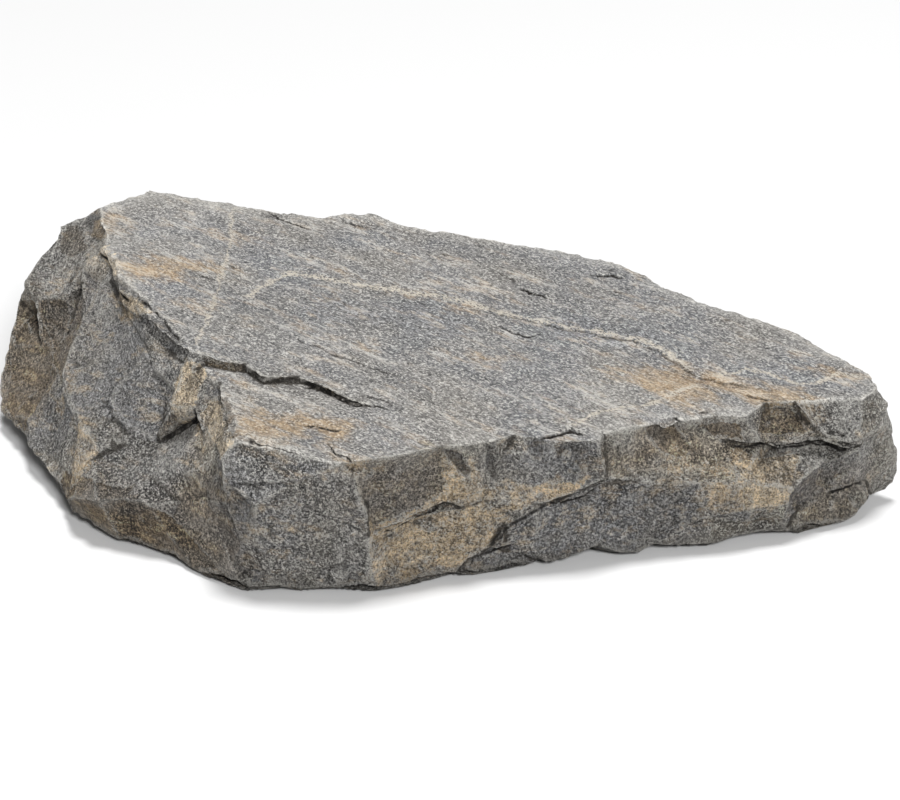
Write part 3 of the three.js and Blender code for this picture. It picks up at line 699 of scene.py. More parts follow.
def depth_inside(outline, places):
    """How far inside an outline each place is, seen square on to it; negative outside."""
    middle = outline.mean(0)
    after = np.roll(outline, -1, axis=0)
    square, first = unit(np.array([
        np.cross(outline - middle, after - middle).sum(0), outline[1] - outline[0],
    ]))
    first = unit((first - (first @ square) * square)[None])[0]
    axes = np.stack([first, np.cross(square, first)], 1)
    flat, starts, ends = ((spots - middle) @ axes for spots in (places, outline, after))
    nearest = np.full(len(places), np.inf)
    inside = np.zeros(len(places), bool)
    for start, end in zip(starts, ends):
        side = end - start
        along = np.clip((flat - start) @ side / (side @ side), 0, 1)
        apart = np.linalg.norm(flat - start - along[:, None] * side, axis=1)
        nearest = np.minimum(nearest, apart)
        level = (start[1] > flat[:, 1]) != (end[1] > flat[:, 1])
        rise = side[1] if side[1] else 1.0
        inside ^= level & (flat[:, 0] < start[0] + (flat[:, 1] - start[1]) / rise * side[0])
    in_front = np.abs((places - middle) @ square)
    return np.where(inside, nearest, -nearest) - np.maximum(0, in_front - AREA_LIFT)


# Unevenness of broken rock.

def chip(place, size):
    """Flat chips about size across that meet in ridges, between about -0.5 and 0.5."""
    spot = place / size
    distances, seeds = noise.voronoi(spot)
    lowest = 1.0
    for distance, seed in zip(distances, seeds):
        tilt = noise.cell_vector(seed) - Vector((0.5, 0.5, 0.5))
        lowest = min(lowest, 1.6 * tilt.dot(spot - seed) + 0.7 * distance)
    return lowest - 0.35


def terrace(value, sharpness):
    """Turns a slope into treads with steep risers between them."""
    tread = math.floor(value)
    rise = value - tread
    return tread + min(1.0, max(0.0, (rise - 0.5) * sharpness + 0.5))


def along_foliation(place, stretch):
    """The place squeezed along the streaks, so that noise read there runs out in streaks."""
    c, s = math.cos(FOLIATION_ANGLE), math.sin(FOLIATION_ANGLE)
    return Vector(((place.x * c + place.y * s) / stretch, -place.x * s + place.y * c, place.z))


def wander(place, broad, broad_height, fine, fine_height):
    """A shift that changes from place to place: a broad wave with a finer one on it."""
    return (
        noise.noise_vector(place / broad) * broad_height
        + noise.noise_vector(place / fine) * fine_height
    )


def facing_shade(normals, shift):
    """Painted shade for each facing direction, a random lightness, so each flat break has its own.
    """
    return np.array([noise.noise(Vector(normal) * 2.4 + Vector(shift)) for normal in normals])


def patch_strength(patches, places):
    """How strongly patches cover each place."""
    total = np.zeros(len(places))
    for centre, reach, strength in patches:
        apart = np.linalg.norm((places - centre) / reach, axis=1)
        total = np.maximum(total, strength * (1 - smoothstep(apart, 0.25, 1.25)))
    return total


def store_fields(mesh, domain, fields):
    for label, values in fields.items():
        layer = mesh.attributes.new(label, "FLOAT", domain)
        layer.data.foreach_set("value", values.astype(np.float32))


class Surface:
    """The stone's fine skin: its points, triangles and the fields that shape and colour it."""

    def __init__(self, node, shape):
        self.shape = shape
        points, triangles = merged_mesh(node)
        edges, _, turn, outer = edge_angles(points, triangles)
        sharp = turn > CREASE_ANGLE
        turn, outer = turn[sharp], outer[sharp]
        points, triangles, creases, half_of = subdivide(points, triangles, edges[sharp])
        turn, outer = turn[half_of], outer[half_of]
        self.points, self.triangles = points, triangles
        self.creases = self.seam(creases, turn, turn > CREASE_ANGLE)
        self.outer_creases = self.seam(creases, turn, outer & (turn > OUTER_ANGLE))
        self.inner_creases = self.seam(creases, turn, ~outer & (turn > INNER_ANGLE))
        self.find_top()
        self.ledges = [(h, d, self.on_surface(line)) for h, d, line in LEDGES.values()]
        self.veins = [(w, s, self.on_surface(line)) for w, s, line in VEINS.values()]
        self.areas = [(*about, np.array(line, float)) for *about, line in AREAS.values()]
        self.refine()
        self.find_rims()

    def seam(self, edges, turn, chosen):
        """Places along the chosen edges, and how sharply the surface turns at each."""
        places, owner = strung_along(self.points, edges[chosen], SEAM_GAP)
        return places, turn[chosen][owner]

    def find_top(self):
        """Middle and slope of the cleaved top, from the high faces that look up."""
        normals = face_normals(self.points, self.triangles)
        area = np.linalg.norm(normals, axis=1)
        middles = self.points[self.triangles].mean(1)
        up = (normals[:, 2] > 0.96 * area) & (middles[:, 2] > 0.5 * STONE_HEIGHT)
        weights = area[up]
        self.centre = (middles[up] * weights[:, None]).sum(0) / weights.sum()
        self.up = unit(normals[up].sum(0)[None])[0]

    def below_top(self, places):
        return (self.centre - places) @ self.up

    def on_surface(self, line):
        """A line's points in space: those given as [x, y] are put on the top."""
        places = []
        for point in line:
            if len(point) == 2:
                flat = np.array(point) - self.centre[:2]
                point = (*point, self.centre[2] - flat @ self.up[:2] / self.up[2])
            places.append(point)
        return np.array(places, float)

    def refine(self):
        """Smaller triangles on the broken sides, beside the drawn lines and along the edges
        between facets; larger ones underneath."""
        borders = [np.concatenate([line, line[:1]]) for *_, line in self.areas]
        drawn = [line for *_, line in self.ledges] + borders

        def limit_at(places, normals):
            facing = normals @ self.up
            limit = np.where(facing > UP_LIMIT, TOP_EDGE, SIDE_EDGE)
            limit[facing < DOWN_LIMIT] = UNDER_EDGE
            near_crease = nearest_to(self.creases[0], places)[0] < CREASE_REACH
            limit[near_crease] = np.minimum(limit[near_crease], CREASE_EDGE)
            limit[places[:, 2] < LOW_HEIGHT] = CREASE_EDGE
            limit[places[:, 2] < HIDDEN_HEIGHT] = HIDDEN_EDGE
            for line in drawn:
                near = near_line(line, places, LINE_BOX)
                ends = zip(line[:-1], line[1:])
                dots = np.concatenate([np.linspace(a, b, LINE_DOTS) for a, b in ends])
                to_line, _ = nearest_to(dots, places[near])
                limit[near[to_line < LINE_REACH]] = LINE_EDGE
            return limit

        for _ in range(SPLIT_ROUNDS):
            self.points, self.triangles = split_long_edges(self.points, self.triangles, limit_at)

    def find_rims(self):
        """How far each point is from the creases and below the top, and which way it faces."""
        self.normals = point_normals(self.points, self.triangles)
        self.to_crease, _ = nearest_to(self.creases[0], self.points)
        self.to_worn, outer_at = nearest_to(self.outer_creases[0], self.points)
        self.to_dirty, inner_at = nearest_to(self.inner_creases[0], self.points)
        self.outer_turn = smoothstep(self.outer_creases[1][outer_at], OUTER_ANGLE, 2 * OUTER_ANGLE)
        self.inner_turn = smoothstep(self.inner_creases[1][inner_at], INNER_ANGLE, 2 * INNER_ANGLE)
        self.below = self.below_top(self.points)
        facing = self.normals @ self.up
        self.top = smoothstep(facing, *TOP_TILT) * smoothstep(-self.below, *TOP_DROP)
        self.grounded = smoothstep(self.points[:, 2], *GROUND_BAND)

    def tint_facets(self):
        """Gives whole facets a kind of weathering, and each direction a painted shade of its own.
        """
        middles = self.points[self.triangles].mean(1)
        normals = unit(face_normals(self.points, self.triangles))
        _, faces, turn, _ = edge_angles(self.points, self.triangles)
        joined = faces[turn < FACET_ANGLE]
        fields = {f"{kind} facet": np.zeros(len(middles)) for kind, *_ in FACETS}
        for kind, seed, reach, strength in FACETS:
            apart = np.linalg.norm(middles - seed, axis=1)
            marked = np.zeros(len(middles), bool)
            marked[apart.argmin()] = True
            pairs = joined[(apart[joined] < reach).all(1)]
            while True:
                split = marked[pairs[:, 0]] != marked[pairs[:, 1]]
                if not split.any():
                    break
                marked[pairs[split]] = True
                pairs = pairs[~marked[pairs].all(1)]
            held = strength * marked * (1 - smoothstep(apart, 0.6 * reach, reach))
            fields[f"{kind} facet"] = np.maximum(fields[f"{kind} facet"], held)
        # Painted shade: a random lightness for the direction each facet faces.
        fields["painted facing shade"] = facing_shade(normals, (7, 3, 5))
        self.facet_fields = fields

    def break_up(self):
        """Moves every point off the smooth facets onto an uneven broken face."""
        moved = np.zeros_like(self.points)
        for index in np.flatnonzero(self.grounded > 0):
            moved[index] = self.relief(index)
        for centre, reach, depth in DENTS:
            apart = np.linalg.norm((self.points - centre) / reach, axis=1)
            moved -= self.normals * (depth * (1 - smoothstep(apart, 0.3, 1.0)))[:, None]
        self.points = self.points + moved * self.grounded[:, None]

    def draw_in_foot(self):
        """Opens an uneven gap under the stone's lower edge."""
        for place, normal in zip(self.points, self.normals):
            if place[2] < 2 * FOOT_HEIGHT:
                uneven = 0.5 + noise.noise(Vector(place) / 14)
                lip = FOOT_HEIGHT * (0.5 + uneven)
                sunk = FOOT_DEPTH * uneven * (1 - smoothstep(place[2], 0.6 * lip, lip))
                outward = normal[:2] @ place[:2] / np.linalg.norm(place[:2])
                place[:2] -= normal[:2] * sunk * smoothstep(outward, 0.0, 0.3)

    def relief(self, index):
        """How far one point moves."""
        place, normal = Vector(self.points[index]), Vector(self.normals[index])
        top = self.top[index]
        away = min(1.0, self.to_crease[index] / CALM_WIDTH)
        inside = 0.3 + 0.7 * away * away * (3 - 2 * away)
        move = Vector((0, 0, 0))
        if top > 0:
            move += normal * (self.top_rise(place, inside) * top)
        if top < 1:
            rise = self.side_rise(place, abs(normal.z), self.below[index], inside)
            move += (normal * rise + wander(place, *SIDE_WANDER)) * (1 - top)
        near = max(0.0, 1 - self.to_worn[index] / RIM_WIDTH)
        if near > 0:
            move -= normal * (self.bite(place, self.to_dirty[index]) * near * near)
            move += wander(place, *RIM_WANDER) * near
        return move

    def top_rise(self, place, inside):
        """A gentle swell, low scarps along the streaks, and fine grain."""
        streaked = along_foliation(place, 3.0)
        swell = noise.fractal(streaked / 16, 1.0, 2.0, 3)
        scarps = terrace(noise.noise(streaked / 19 + Vector((3, 8, 1))) * 5, 9) / 5
        fine = noise.fractal(streaked / 2.6, 0.8, 2.0, 2)
        return self.shape.top_swell * swell + self.shape.top_scarp * scarps * inside + 0.1 * fine

    def side_rise(self, place, level, below, inside):
        """Flat chips of three sizes, thin layers where the face is upright, and fine grain."""
        rolling = noise.fractal(place / 15, 1.0, 2.0, 3)
        chips = sum(height * chip(place + Vector(shift), size) for size, shift, height in CHIPS)
        fine = noise.fractal(place / 2.2, 0.7, 2.0, 2)
        bed = (below + 1.6 * noise.noise(place / 21)) / 4.6
        patchy = max(0.0, noise.noise(place / 17 + Vector((9, 2, 4))) + 0.15)
        beds = (terrace(bed, 3.0) - bed) * patchy * (1 - level)
        shape = self.shape
        rise = shape.side_swell * rolling + shape.chips * chips - shape.beds * beds
        return inside * rise + shape.side_grain * fine

    def bite(self, place, to_dirty):
        """Depth of the bites out of an outer corner, which are small near inner corners."""
        bite = noise.noise(place / 7.5 + Vector((5, 5, 5))) + 0.6 * noise.noise(place / 2.9)
        bite = max(0.0, bite + 0.1) * min(1.0, max(0.1, (to_dirty - 2.0) / 4.0))
        return self.shape.rim_bite * bite

    def draw_lines(self):
        """Steps the surface at the areas and ledges, and notes where they and the veins run."""
        shift = np.array([wander(Vector(place), *LINE_WANDER) for place in self.points])
        steep = 1 - smoothstep(self.normals[:, 2], 0.6, 0.85)
        wavy = self.points + shift * (1 - 0.75 * steep)[:, None]
        rise = np.zeros(len(self.points))
        self.draw_areas(wavy, rise)
        self.draw_ledges(wavy, rise)
        self.points = self.points + self.normals * rise[:, None]
        self.draw_veins(wavy)

    def draw_areas(self, wavy, rise):
        """How deep each point is inside the areas of each kind, and the step at their borders."""
        count = len(self.points)
        self.area_depth = {kind: np.full(count, -FAR) for kind in KINDS}
        self.area_hold = {kind: np.zeros(count) for kind in KINDS}
        self.border = np.full(count, FAR)
        for kinds, height, line in self.areas:
            near = near_line(line, self.points, FAR)
            depth = depth_inside(line, wavy[near])
            closer = np.abs(depth) < np.abs(self.border[near])
            self.border[near[closer]] = depth[closer]
            rise[near] += height * smoothstep(depth, -0.5, 0.6)
            for kind, strength in kinds.items():
                deeper = depth > self.area_depth[kind][near]
                self.area_depth[kind][near[deeper]] = depth[deeper]
                self.area_hold[kind][near[deeper]] = strength

    def trace(self, line, wavy, reach, nearest):
        """The points near a line, each one's offset, distance from the line's end and distance,
        and which of them no earlier line is nearer to."""
        near = near_line(line, self.points, reach)
        offset, from_end, distance = offset_from(line, wavy[near], self.normals[near])
        closer = distance < nearest[near]
        nearest[near[closer]] = distance[closer]
        return near, offset, from_end, distance, closer

    def draw_ledges(self, wavy, rise):
        count = len(self.points)
        self.crack_offset, self.crack_and_shadow = np.full(count, FAR), np.zeros(count)
        nearest = np.full(count, np.inf)
        for height, darkness, line in self.ledges:
            reach = 3 + 9 * abs(height)
            near, offset, from_end, distance, closer = self.trace(line, wavy, reach + 3, nearest)
            fade = smoothstep(from_end, 0.0, LEDGE_FADE)
            high_side = smoothstep(offset, -0.4, 0.4) - 0.5
            rise[near] += fade * height * high_side * np.exp(-distance / reach)
            rise[near] -= fade * 0.5 * darkness * np.exp(-((offset + 0.2) / 0.4) ** 2)
            self.crack_offset[near[closer]] = offset[closer]
            self.crack_and_shadow[near[closer]] = (darkness * fade * (distance < CRACK_WIDTH))[closer]

    def draw_veins(self, wavy):
        count = len(self.points)
        self.vein_offset, self.vein = np.full(count, FAR), np.zeros(count)
        nearest = np.full(count, np.inf)
        for width, strength, line in self.veins:
            near, offset, from_end, distance, closer = self.trace(line, wavy, VEIN_BOX, nearest)
            fade = smoothstep(from_end, 0.0, VEIN_FADE)
            self.vein_offset[near[closer]] = (offset / width)[closer]
            self.vein[near[closer]] = (strength * fade * (distance < VEIN_WIDTH))[closer]

    def read_form(self):
        """Height of each point above its surroundings: ridges above 0, hollows below 0."""
        smooth = blurred(self.points, self.triangles, 6)
        wide = blurred(smooth, self.triangles, 60)
        self.normals = point_normals(self.points, self.triangles)
        self.ridge = ((self.points - smooth) * self.normals).sum(1)
        self.bulge = ((smooth - wide) * self.normals).sum(1)
        planes = point_normals(blurred(self.points, self.triangles, 2), self.triangles)
        # Painted shade: a random lightness for the direction each small region faces.
        self.facing = facing_shade(planes, (2, 6, 9))

    def point_fields(self):
        """The fields that the finish reads at each point, by name."""
        names = (
            "crack_offset", "crack_and_shadow", "vein_offset", "vein", "border", "facing", "top", "ridge",
            "bulge", "outer_turn", "inner_turn",
        )
        fields = {name: getattr(self, name) for name in names}
        for name in ("to_worn", "to_dirty"):
            fields[name] = np.minimum(getattr(self, name), FAR)
        shift = np.array([wander(Vector(place), *PATCH_WANDER) for place in self.points])
        for kind, patches in PATCHES.items():
            fields[kind] = patch_strength(patches, self.points + shift)
        for kind in KINDS:
            fields[f"{kind} depth"] = self.area_depth[kind]
            fields[f"{kind} hold"] = self.area_hold[kind]
        return fields

    def to_object(self, name):
        mesh = bpy.data.meshes.new(name)
        mesh.from_pydata((self.points * MM).tolist(), [], self.triangles.tolist())
        store_fields(mesh, "POINT", self.point_fields())
        store_fields(mesh, "FACE", self.facet_fields)
        mesh.shade_smooth()
        mesh.set_sharp_from_angle(angle=SHADE_ANGLE)
        mesh.validate()
        stone = bpy.data.objects.new(name, mesh)
        bpy.context.scene.collection.objects.link(stone)
        return stone


# The finishes.

class Nodes:
    """Short calls for the shader nodes that the finishes use."""

    def __init__(self, material):
        material.use_nodes = True
        self.tree = material.node_tree
        self.tree.nodes.clear()

    def make(self, kind, settings=(), inputs=()):
        node = self.tree.nodes.new(kind)
        for name, value in dict(settings).items():
            setattr(node, name, value)
        for name, value in dict(inputs).items():
            self.feed(node.inputs[name], value)
        return node

    def feed(self, socket, value):
        """Links a socket to another node's output, or sets its number or colour."""
        if isinstance(value, bpy.types.NodeSocket):
            self.tree.links.new(value, socket)
        elif socket.type == "RGBA":
            socket.default_value = (*value, 1)
        else:
            socket.default_value = value

    def finish(self, shader):
        self.make("ShaderNodeOutputMaterial", {}, {"Surface": shader.outputs["BSDF"]})

    def field(self, name):
        return self.make("ShaderNodeAttribute", {"attribute_name": name}).outputs["Fac"]

    def math(self, operation, *values):
        node = self.make("ShaderNodeMath", {"operation": operation})
        for socket, value in zip(node.inputs, values):
            self.feed(socket, value)
        return node.outputs[0]

    def in_turn(self, operation, values):
        total, *others = values
        for value in others:
            total = self.math(operation, total, value)
        return total

    def plus(self, *values):
        return self.in_turn("ADD", values)

    def times(self, *values):
        return self.in_turn("MULTIPLY", values)

    def most(self, *values):
        return self.in_turn("MAXIMUM", values)

    def minus(self, a, b):
        return self.math("SUBTRACT", a, b)

    def absolute(self, value):
        return self.math("ABSOLUTE", value)

    def span(self, value, low, high, to_low=0.0, to_high=1.0):
        """Maps low..high to to_low..to_high, held at the ends, with soft ends."""
        inputs = {
            "Value": value, "From Min": low, "From Max": high,
            "To Min": to_low, "To Max": to_high,
        }
        settings = {"interpolation_type": "SMOOTHSTEP"}
        return self.make("ShaderNodeMapRange", settings, inputs).outputs["Result"]

    def mix(self, factor, a, b, blend="MIX"):
        """A colour that goes from a to b."""
        node = self.make("ShaderNodeMix", {"data_type": "RGBA", "blend_type": blend})
        for index, value in ((0, factor), (6, a), (7, b)):
            self.feed(node.inputs[index], value)
        return node.outputs[2]

    def blend(self, factor, a, b):
        """A number that goes from a to b."""
        node = self.make("ShaderNodeMix", {"data_type": "FLOAT"})
        for index, value in ((0, factor), (2, a), (3, b)):
            self.feed(node.inputs[index], value)
        return node.outputs[0]

    def mapped(self, vector, change, amounts):
        inputs = {"Vector": vector, change: amounts}
        return self.make("ShaderNodeMapping", {"vector_type": "POINT"}, inputs).outputs["Vector"]

    def noise(self, vector, size, detail=2.0, roughness=0.5, distortion=0.0):
        """Noise whose coarsest features are about size millimetres across."""
        inputs = {
            "Vector": vector, "Scale": 1 / (size * MM), "Detail": detail,
            "Roughness": roughness, "Distortion": distortion,
        }
        return self.make("ShaderNodeTexNoise", {}, inputs).outputs["Fac"]

    def strands(self, vector, size, shift):
        """Thin winding lines about size millimetres apart."""
        moved = self.make("ShaderNodeVectorMath", {"operation": "ADD"})
        self.feed(moved.inputs[0], vector)
        self.feed(moved.inputs[1], (shift, shift, shift))
        value = self.noise(moved.outputs[0], size, 2, 0.55, 0.4)
        return self.span(self.absolute(self.minus(value, 0.5)), 0.085, 0.02)

    def crumb(self, vector, size):
        """Height of tightly packed crumbs about size millimetres across."""
        inputs = {"Vector": vector, "Scale": 1 / (size * MM)}
        return self.make("ShaderNodeTexVoronoi", {}, inputs).outputs["Distance"]

    def bump(self, height, distance):
        inputs = {"Height": height, "Distance": distance, "Strength": 1.0}
        return self.make("ShaderNodeBump", {}, inputs).outputs["Normal"]


class Rock(Nodes):
    """The stone's finish, laid on in layers over one set of noises."""

    def __init__(self, material, colours):
        super().__init__(material)
        self.colours = colours
        self.place = self.make("ShaderNodeTexCoord").outputs["Object"]
        self.top = self.field("top")

        # Foliation: the rock is squeezed flat, so its grains run out along the streaks.
        turned = self.mapped(self.place, "Rotation", (0, 0, -FOLIATION_ANGLE))
        self.streaked = self.mapped(turned, "Scale", (0.36, 1.0, 1.3))
        self.grainy = self.mapped(turned, "Scale", (0.4, 1.0, 1.0))
        self.drawn_out = self.mapped(turned, "Scale", (0.14, 1.0, 1.0))

        self.patch = self.noise(self.streaked, 9, 3, 0.6)
        self.streak = self.noise(self.streaked, 3.0, 3, 0.65)
        self.pits = self.noise(self.place, 2.6, 3, 0.65)
        self.grain = self.blend(
            self.top, self.noise(self.place, 0.72, 2, 0.6, 1.0),
            self.noise(self.grainy, 0.68, 2, 0.6, 1.0),
        )
        self.speck = self.blend(
            self.top, self.noise(self.place, 0.55, 1, 0.5, 0.6),
            self.noise(self.grainy, 0.52, 1, 0.5, 0.6),
        )
        self.crumbs = self.span(self.speck, 0.38, 0.54)
        broken = self.noise(self.place, 1.0, 1, 0.5)
        self.pale_fibre = self.times(self.fibre(1.1, 0), self.span(broken, 0.46, 0.57))
        self.dark_fibre = self.times(self.fibre(1.0, 7), self.span(broken, 0.56, 0.44))
        self.ragged = self.span(self.noise(self.place, 3.2, 3, 0.7), 0.25, 0.75, -1.3, 1.3)

    def by_top(self, sides, top):
        """A number that is one thing on the broken sides and another on the cleaved top."""
        return self.span(self.top, 0.0, 1.0, sides, top)

    def fibre(self, size, shift):
        """Short strands, tangled on the sides and drawn out along the streaks on the top."""
        on_sides = self.strands(self.place, size, shift)
        return self.blend(self.top, on_sides, self.strands(self.grainy, 1.0, shift))

    def weathering(self, kind):
        """How far a kind of weathering covers the spot, by its patches, facets and areas."""
        inside = self.span(self.plus(self.field(f"{kind} depth"), self.ragged), -0.2, 0.4)
        area = self.times(inside, self.field(f"{kind} hold"))
        return self.most(self.field(kind), self.field(f"{kind} facet"), area)

    def patchy(self, kind, low, high, least):
        """A kind of weathering that is thinner, down to least, between its patches."""
        return self.times(self.weathering(kind), self.span(self.patch, low, high, least, 1.0))

    def ground(self):
        """Cool to warm grey, darker and warmer on the sides, with fresh and crushed breaks."""
        colours = self.colours
        warmth = self.span(self.noise(self.place, 34, 3, 0.55), 0.35, 0.65)
        on_top = self.mix(warmth, colours.cool_grey, colours.warm_grey)
        on_sides = self.mix(warmth, colours.side_cool, colours.side_warm)
        ground = self.mix(self.top, on_sides, on_top)
        ground = self.mix(self.patchy("blue", 0.3, 0.6, 0.5), ground, colours.blue_grey)
        return self.mix(self.patchy("pale", 0.3, 0.6, 0.6), ground, colours.pale_grey)

    def weather(self, ground):
        """Brown, ochre and tan weathering. It also gives how stained the spot is, and how stained
        or tan, whichever is more."""
        colours = self.colours
        ground = self.mix(self.patchy("brown", 0.32, 0.62, 0.55), ground, colours.brown)
        stain = self.plus(
            self.weathering("ochre"), self.span(self.streak, 0.3, 0.7, -0.28, 0.28),
            self.span(self.patch, 0.3, 0.7, -0.34, 0.3),
        )
        stain = self.times(self.span(stain, 0.0, 1.05), self.by_top(0.85, 0.72))
        deep = self.span(self.noise(self.place, 7, 3, 0.6), 0.45, 0.7)
        ochre = self.mix(deep, colours.pale_ochre, colours.ochre)
        ochre = self.mix(self.top, self.mix(0.5, ochre, colours.khaki), ochre)
        ground = self.mix(stain, ground, ochre)
        tan = self.patchy("tan", 0.25, 0.5, 0.6)
        return self.mix(tan, ground, colours.tan), stain, self.most(stain, tan)

    def mottled(self, ground, stain):
        """Lighter and darker in patches, by grain and by painted facing shade, most on the rough
        sides.
        """
        mixed = self.plus(
            self.times(self.grain, 0.5), self.times(self.speck, 0.35), self.times(self.pits, 0.15),
        )
        contrast = self.times(self.by_top(8.0, 4.8), self.span(stain, 0.0, 1.0, 1.0, 0.7))
        mottle = self.plus(
            self.span(self.noise(self.place, 8, 4, 0.7), 0.32, 0.68, -0.34, 0.34),
            self.span(self.noise(self.place, 3.0, 2, 0.6), 0.3, 0.7, -0.2, 0.2),
        )
        wide = self.plus(
            self.span(self.streak, 0.25, 0.75, 0.96, 1.16),
            self.span(self.patch, 0.3, 0.7, -0.08, 0.08),
            # The two facing fields are painted shade on the sides.
            self.times(self.field("painted facing shade"), self.by_top(1.4, 0.0)),
            self.by_top(0.2, 0.05),
            self.times(self.field("facing"), self.by_top(1.1, 0.0)),
            self.times(mottle, self.by_top(1.0, 0.3)),
            self.span(self.noise(self.streaked, 24, 4, 0.6), 0.35, 0.65, -0.12, 0.12),
        )
        tone = self.most(self.plus(wide, self.times(self.minus(mixed, 0.5), contrast)), 0.3)
        return self.mix(1.0, ground, tone, "MULTIPLY")

    def dark_grains(self, shaded):
        dark = self.most(
            self.times(self.span(self.grain, 0.38, 0.28), self.by_top(0.3, 0.12)),
            self.times(self.dark_fibre, self.by_top(0.6, 0.3)),
        )
        return self.mix(dark, shaded, self.colours.mica)

    def light_grains(self, shaded, ground, tinted):
        """Light grains, short strands and threads, coloured by the ground they lie in."""
        thread = self.times(
            self.strands(self.drawn_out, 4.5, 3), self.span(self.patch, 0.48, 0.64), self.top,
            self.span(self.speck, 0.36, 0.52, 0.1, 0.6),
        )
        light = self.most(
            self.times(self.span(self.speck, 0.58, 0.68), self.by_top(0.4, 0.25)),
            self.times(self.pale_fibre, self.by_top(0.95, 0.65)),
            thread,
        )
        light = self.times(light, self.span(tinted, 0.0, 1.0, 1.0, 0.8))
        bright = self.mix(1.0, ground, (GRAIN_GAIN,) * 3, "MULTIPLY")
        clean = self.mix(tinted, self.colours.quartz, self.colours.stained)
        return self.mix(light, shaded, self.mix(1.0, bright, clean, "DARKEN"))

    def veins(self, shaded):
        """Blotchy warm lines."""
        swelling = self.span(self.noise(self.place, 6.0, 4, 0.75), 0.36, 0.62, 0.12, 1.5)
        spread = self.math("DIVIDE", self.absolute(self.field("vein_offset")), swelling)
        vein = self.times(self.span(spread, 1.0, 0.2), self.crumbs, self.field("vein"))
        return self.mix(vein, shaded, self.colours.vein)

    def rubbed_and_highlit(self, shaded, uneven):
        """Corners, ridges and area borders made pale: partly wear, partly painted highlight."""
        within = self.minus(self.field("to_worn"), self.span(uneven, 0.35, 0.65, 0.0, 1.2))
        worn = self.times(
            self.span(within, 0.4, -0.1, 0.0, 0.85), self.crumbs,
            self.span(self.noise(self.place, 11, 3, 0.6), 0.4, 0.6, 0.15, 1.0),
            self.span(self.field("outer_turn"), 0.0, 1.0, 0.6, 1.0),
        )
        # Painted highlight on small ridges and broad bulges.
        ridge = self.most(
            self.times(self.span(self.field("ridge"), 0.05, 0.35, 0.0, 0.6), self.crumbs),
            self.span(self.field("bulge"), 0.15, 1.3, 0.0, 0.22),
        )
        border = self.absolute(self.plus(self.field("border"), self.times(self.ragged, 0.35)))
        border = self.times(
            self.span(border, 0.5, 0.1),
            self.span(self.noise(self.place, 9, 3, 0.6), 0.4, 0.55, 0.1, 0.7),
            self.crumbs, self.span(self.top, 0.5, 0.0),
        )
        for cover in (worn, ridge, border):
            shaded = self.mix(cover, shaded, self.colours.worn)
        return shaded

    def dirt(self, shaded, uneven):
        """Hollows, inner corners, dark areas and the foot: partly grime, partly painted shade."""
        # Painted shade with some grime: small hollows, broad hollows of the sides, inner corners
        # and dark areas are darkened.
        bulge = self.span(self.field("bulge"), -0.15, -1.6, 0.0, 0.55)
        within = self.minus(self.field("to_dirty"), self.span(uneven, 0.65, 0.35, 0.0, 0.9))
        corner = self.most(
            self.span(within, 0.55, 0.0, 0.0, 0.85), self.span(within, 2.0, 0.0, 0.0, 0.3),
        )
        height = self.make("ShaderNodeSeparateXYZ", {}, {"Vector": self.place}).outputs["Z"]
        hollow = self.most(
            self.span(self.field("ridge"), -0.06, -0.45, 0.0, 0.5),
            self.times(bulge, self.span(self.top, 0.7, 0.0)),
            self.times(corner, self.span(self.field("inner_turn"), 0.0, 1.0, 0.35, 1.0)),
            self.times(self.weathering("dark"), 0.6),
            # Painted contact shade: darker towards the floor.
            self.span(height, 9 * MM, 1 * MM, 0.0, 0.45),
        )
        return self.mix(hollow, shaded, self.colours.crevice_dirt_and_shade)

    def cracks_and_shadow_lines(self, shaded):
        """Dark lines at the ledges: partly open fissures, partly painted shadow below the step."""
        sunk = self.plus(self.field("crack_offset"), self.by_top(0.5, 0.2))
        line = self.span(self.absolute(sunk), self.by_top(0.85, 0.5), 0.15)
        patchy = self.span(self.noise(self.place, 2.4, 2, 0.6), 0.34, 0.5, 0.15, 1.0)
        return self.mix(self.times(line, patchy, self.field("crack_and_shadow")), shaded, self.colours.crack_and_shadow)

    def fine_relief(self):
        """Relief too fine for the mesh."""
        rises = self.plus(
            self.times(self.grain, 0.7), self.times(self.pits, 1.0), self.times(self.streak, 0.6),
            self.times(self.speck, 0.3), self.times(self.pale_fibre, self.by_top(0.22, 0.1)),
        )
        height = self.minus(rises, self.times(self.dark_fibre, self.by_top(0.16, 0.1)))
        lumps = self.plus(self.crumb(self.place, 1.7), self.times(self.crumb(self.place, 4.2), 1.6))
        height = self.plus(height, self.times(lumps, self.by_top(0.35, 0.1)))
        return self.bump(height, self.by_top(5.0 * MM, 1.8 * MM))


def rock_material(colours):
    material = bpy.data.materials.new("rock")
    rock = Rock(material, colours)
    ground, stain, tinted = rock.weather(rock.ground())
    shaded = rock.dark_grains(rock.mottled(ground, stain))
    shaded = rock.veins(rock.light_grains(shaded, ground, tinted))
    uneven = rock.noise(rock.place, 3.6, 3, 0.7)
    shaded = rock.cracks_and_shadow_lines(rock.dirt(rock.rubbed_and_highlit(shaded, uneven), uneven))
    rock.finish(rock.make("ShaderNodeBsdfPrincipled", {}, {
        "Base Color": shaded, "Roughness": rock.span(rock.grain, 0.3, 0.75, 0.95, 0.72),
        "Normal": rock.fine_relief(), "Specular IOR Level": 0.3,
    }))
    return material


# Settings that a user may change.

def length_setting(name, description, default):
    return FloatProperty(name=name, description=description, default=default, min=0, soft_max=5)


def colour_setting(name, description, default):
    return FloatVectorProperty(
        name=name, description=description, default=default, subtype="COLOR", min=0, max=1,
    )


